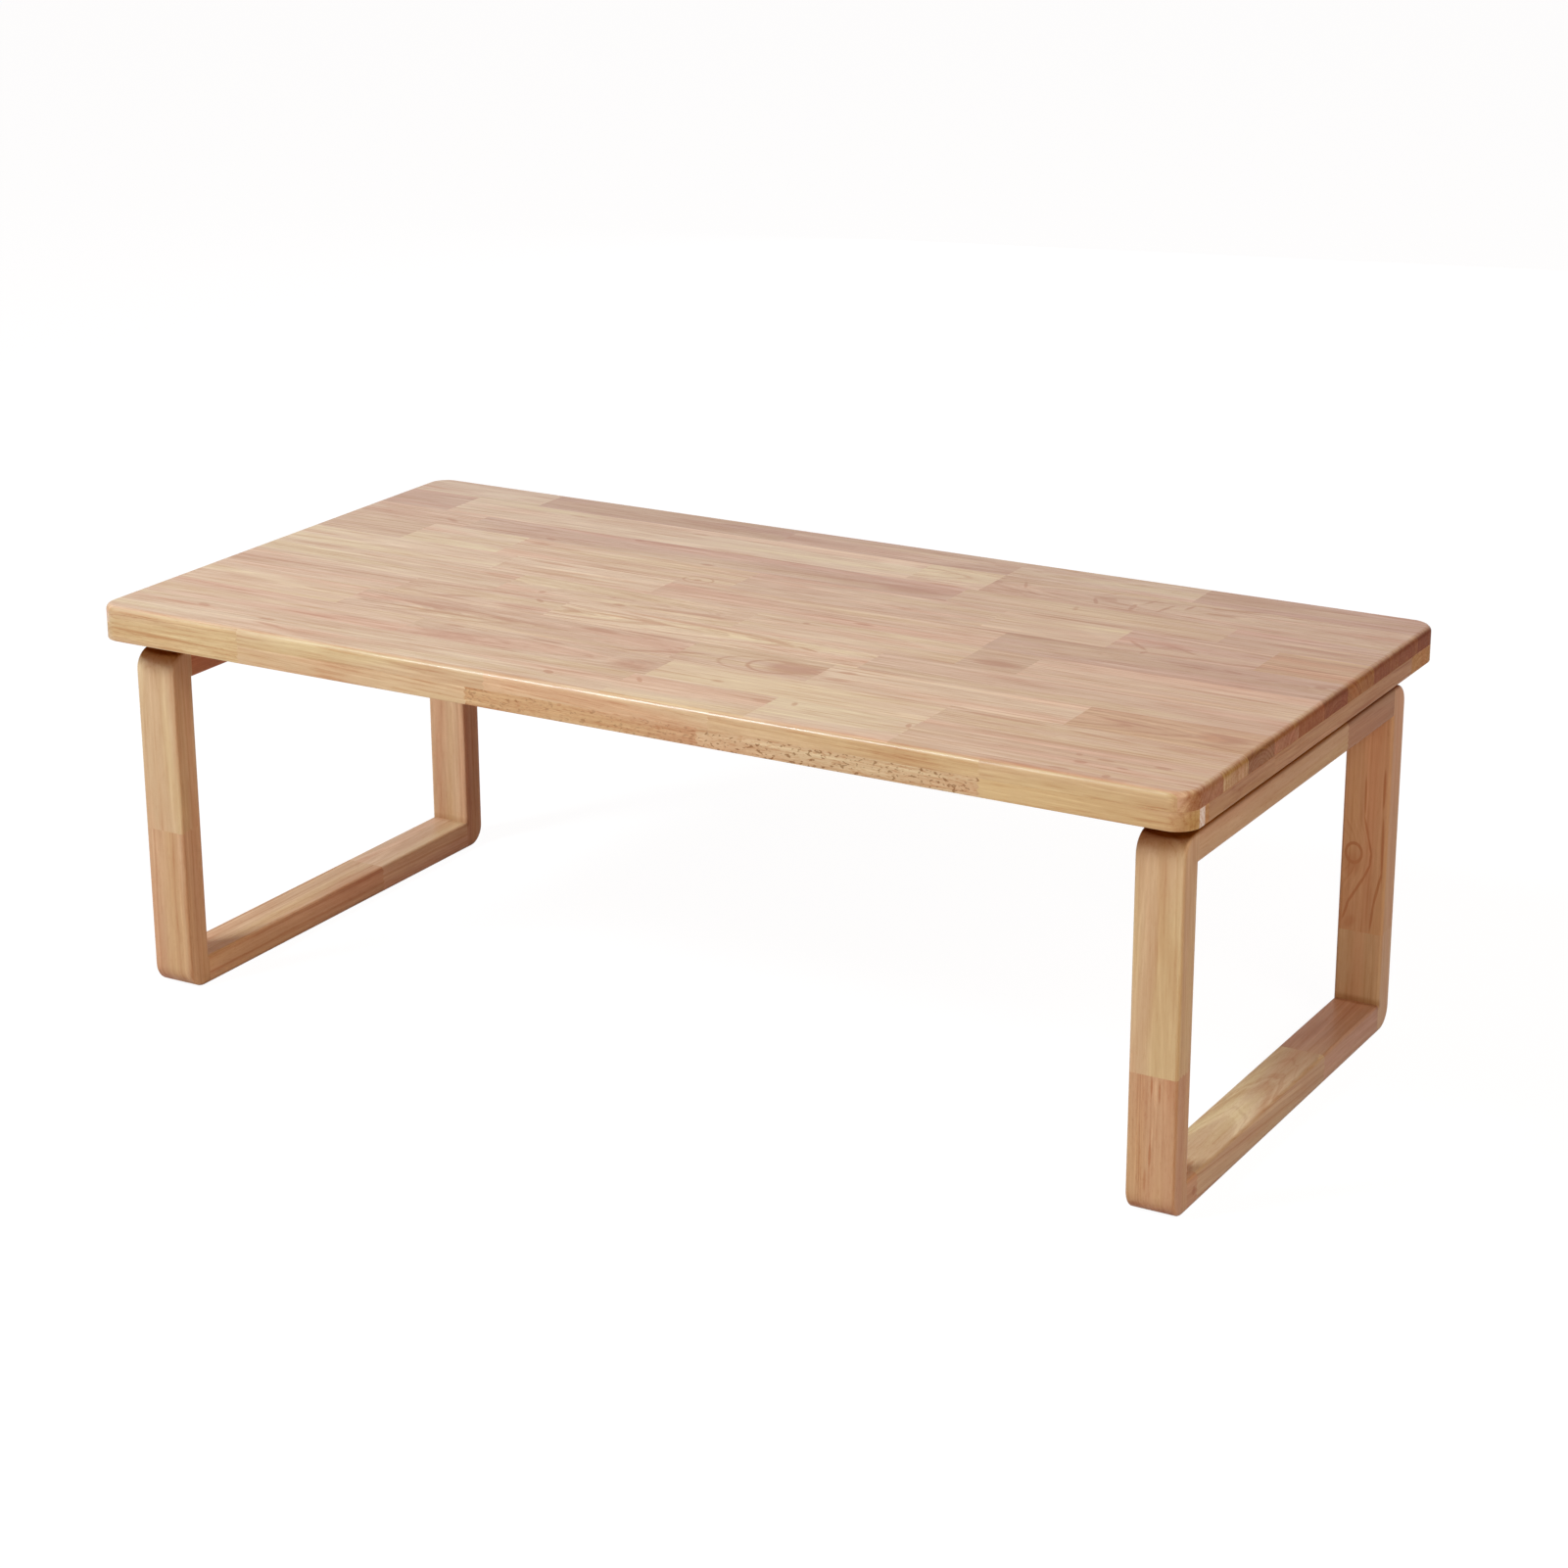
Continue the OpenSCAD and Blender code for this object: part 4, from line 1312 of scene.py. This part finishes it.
def make_world():
    """A dim warm sky for the object and a white one for the camera."""
    world = bpy.data.worlds.new("studio")
    bpy.context.scene.world = world
    world.use_nodes = True
    world.node_tree.nodes.clear()
    graph = Graph(world.node_tree)
    fill = graph.add("Background", {"Color": (*SKY_COLOR, 1), "Strength": SKY_STRENGTH})
    white = graph.add("Background", {"Color": WHITE})
    sky = graph.add("MixShader", {0: graph.studio_rays(), 1: fill.outputs[0], 2: white.outputs[0]})
    graph.add("OutputWorld", {"Surface": sky.outputs[0]})


def make_light(name, way, size, power, color, gloss):
    data = bpy.data.lights.new(name, "AREA")
    data.shape = "SQUARE"
    data.size = size
    data.energy = power
    data.color = color
    light = new_object(name, data)
    light.visible_glossy = gloss
    target = Vector((0, 0, cad_box[1].z * LIGHT_AIM))
    way = Vector(way).normalized()
    light.location = target + way * LIGHT_DISTANCE
    light.rotation_euler = (-way).to_track_quat("-Z", "Y").to_euler()


def make_camera():
    azimuth = math.radians(CAMERA_AZIMUTH)
    elevation = math.radians(CAMERA_ELEVATION)
    roll = math.radians(CAMERA_ROLL)
    back = Vector((
        math.sin(azimuth) * math.cos(elevation),
        -math.cos(azimuth) * math.cos(elevation),
        math.sin(elevation),
    ))
    right = Vector((0, 0, 1)).cross(back).normalized()
    up = back.cross(right)
    rolled_right = right * math.cos(roll) + up * math.sin(roll)
    rolled_up = up * math.cos(roll) - right * math.sin(roll)
    top_middle = Vector((0, 0, cad_box[1].z))
    place = top_middle + back * CAMERA_DISTANCE + rolled_right * CAMERA_RIGHT + rolled_up * CAMERA_UP
    data = bpy.data.cameras.new("camera")
    data.lens = CAMERA_LENS
    data.sensor_width = SENSOR
    data.clip_end = 2 * FLOOR_SIZE
    camera = new_object("camera", data)
    turned = Matrix((rolled_right, rolled_up, back)).transposed().to_4x4()
    camera.matrix_world = Matrix.Translation(place) @ turned
    bpy.context.scene.camera = camera


ALONG_X = (1, 0, 0)
ALONG_Y = (0, 1, 0)
ALONG_Z = (0, 0, 1)


def make_top():
    panel = []
    borders = [OUTSIDE] + TOP_ZONES + [-OUTSIDE]
    for high, low in zip(borders, borders[1:]):
        panel.append(wood("wood_top", ALONG_X, TOP_GLOSS,
                          darks=marks(TOP_FACE, TOP_DARKS, low, high),
                          lights=marks(TOP_FACE, TOP_LIGHTS, low, high)))
    batten = wood("wood_batten", ALONG_X, EDGE_GLOSS)
    front = (CORNER_R, CORNER_R, 0, 0)
    rear = (0, 0, CORNER_R, CORNER_R)
    make_top_panel(panel)
    make_long_batten("front_batten", "front_batten_board",
                     [FRONT_BATTEN, FRONT_BATTEN_INSIDE, FRONT_BATTEN_BACK],
                     FRONT_BATTEN_SEAMS, ["bare", "pale", "bare"], front, batten)
    make_long_batten("rear_batten", "rear_batten_board", [REAR_BATTEN], [], ["bare"], rear, batten)
    end_batten = wood("wood_end_batten", ALONG_Y, EDGE_GLOSS)
    for side in ("left", "right"):
        make_end_batten(side, end_batten)


def make_legs():
    # Painted shade under the tabletop and along the feet, and painted shade with glue in the rear inner
    # corners
    painted_shade_and_glue = marks(LOOP_TOP, LOOP_TOP_PAINTED_SHADE)
    painted_shade_and_glue += marks(LOOP_FOOT, LOOP_FOOT_PAINTED_SHADE) + marks(REAR_CORNER, CORNER_PAINTED_SHADE_AND_GLUE)
    post = wood("wood_post", ALONG_Z, EDGE_GLOSS, LEG_STREAKS,
                marks(FRONT_POST_FACE, FRONT_POST_DARKS), marks(FRONT_POST_FACE, FRONT_POST_LIGHTS),
                painted_shade_and_glue=painted_shade_and_glue)
    knotty_post = wood("wood_knotty_post", ALONG_Z, EDGE_GLOSS, LEG_STREAKS,
                       marks(REAR_POST_FACE, POST_DARKS), knots=marks(REAR_POST_CORE, POST_KNOTS),
                       painted_shade_and_glue=painted_shade_and_glue)
    rail = wood("wood_rail", ALONG_Y, EDGE_GLOSS, LEG_STREAKS, marks(RAIL_CORE, RAIL_DARKS),
                painted_shade_and_glue=painted_shade_and_glue)
    for side in ("left", "right"):
        loop = Loop(side)
        for place in ("front", "rear"):
            knotty = (side, place) == ("right", "rear")
            make_post(side, place, loop, knotty_post if knotty else post)
        for place in ("top", "bottom"):
            make_rail(side, place, loop, rail)
    dowels = dowel_wood()
    for side in ("left", "right"):
        redress(frame["nodes"][f"{side}_leg_dowels"], dowels)


make_camera()
make_floor()
make_world()
for lamp in LIGHTS:
    make_light(*lamp)
make_top()
make_legs()
dress_steel()
make_screws(steel(*SCREW_STEEL))
bpy.context.scene.view_settings.view_transform = "Standard"
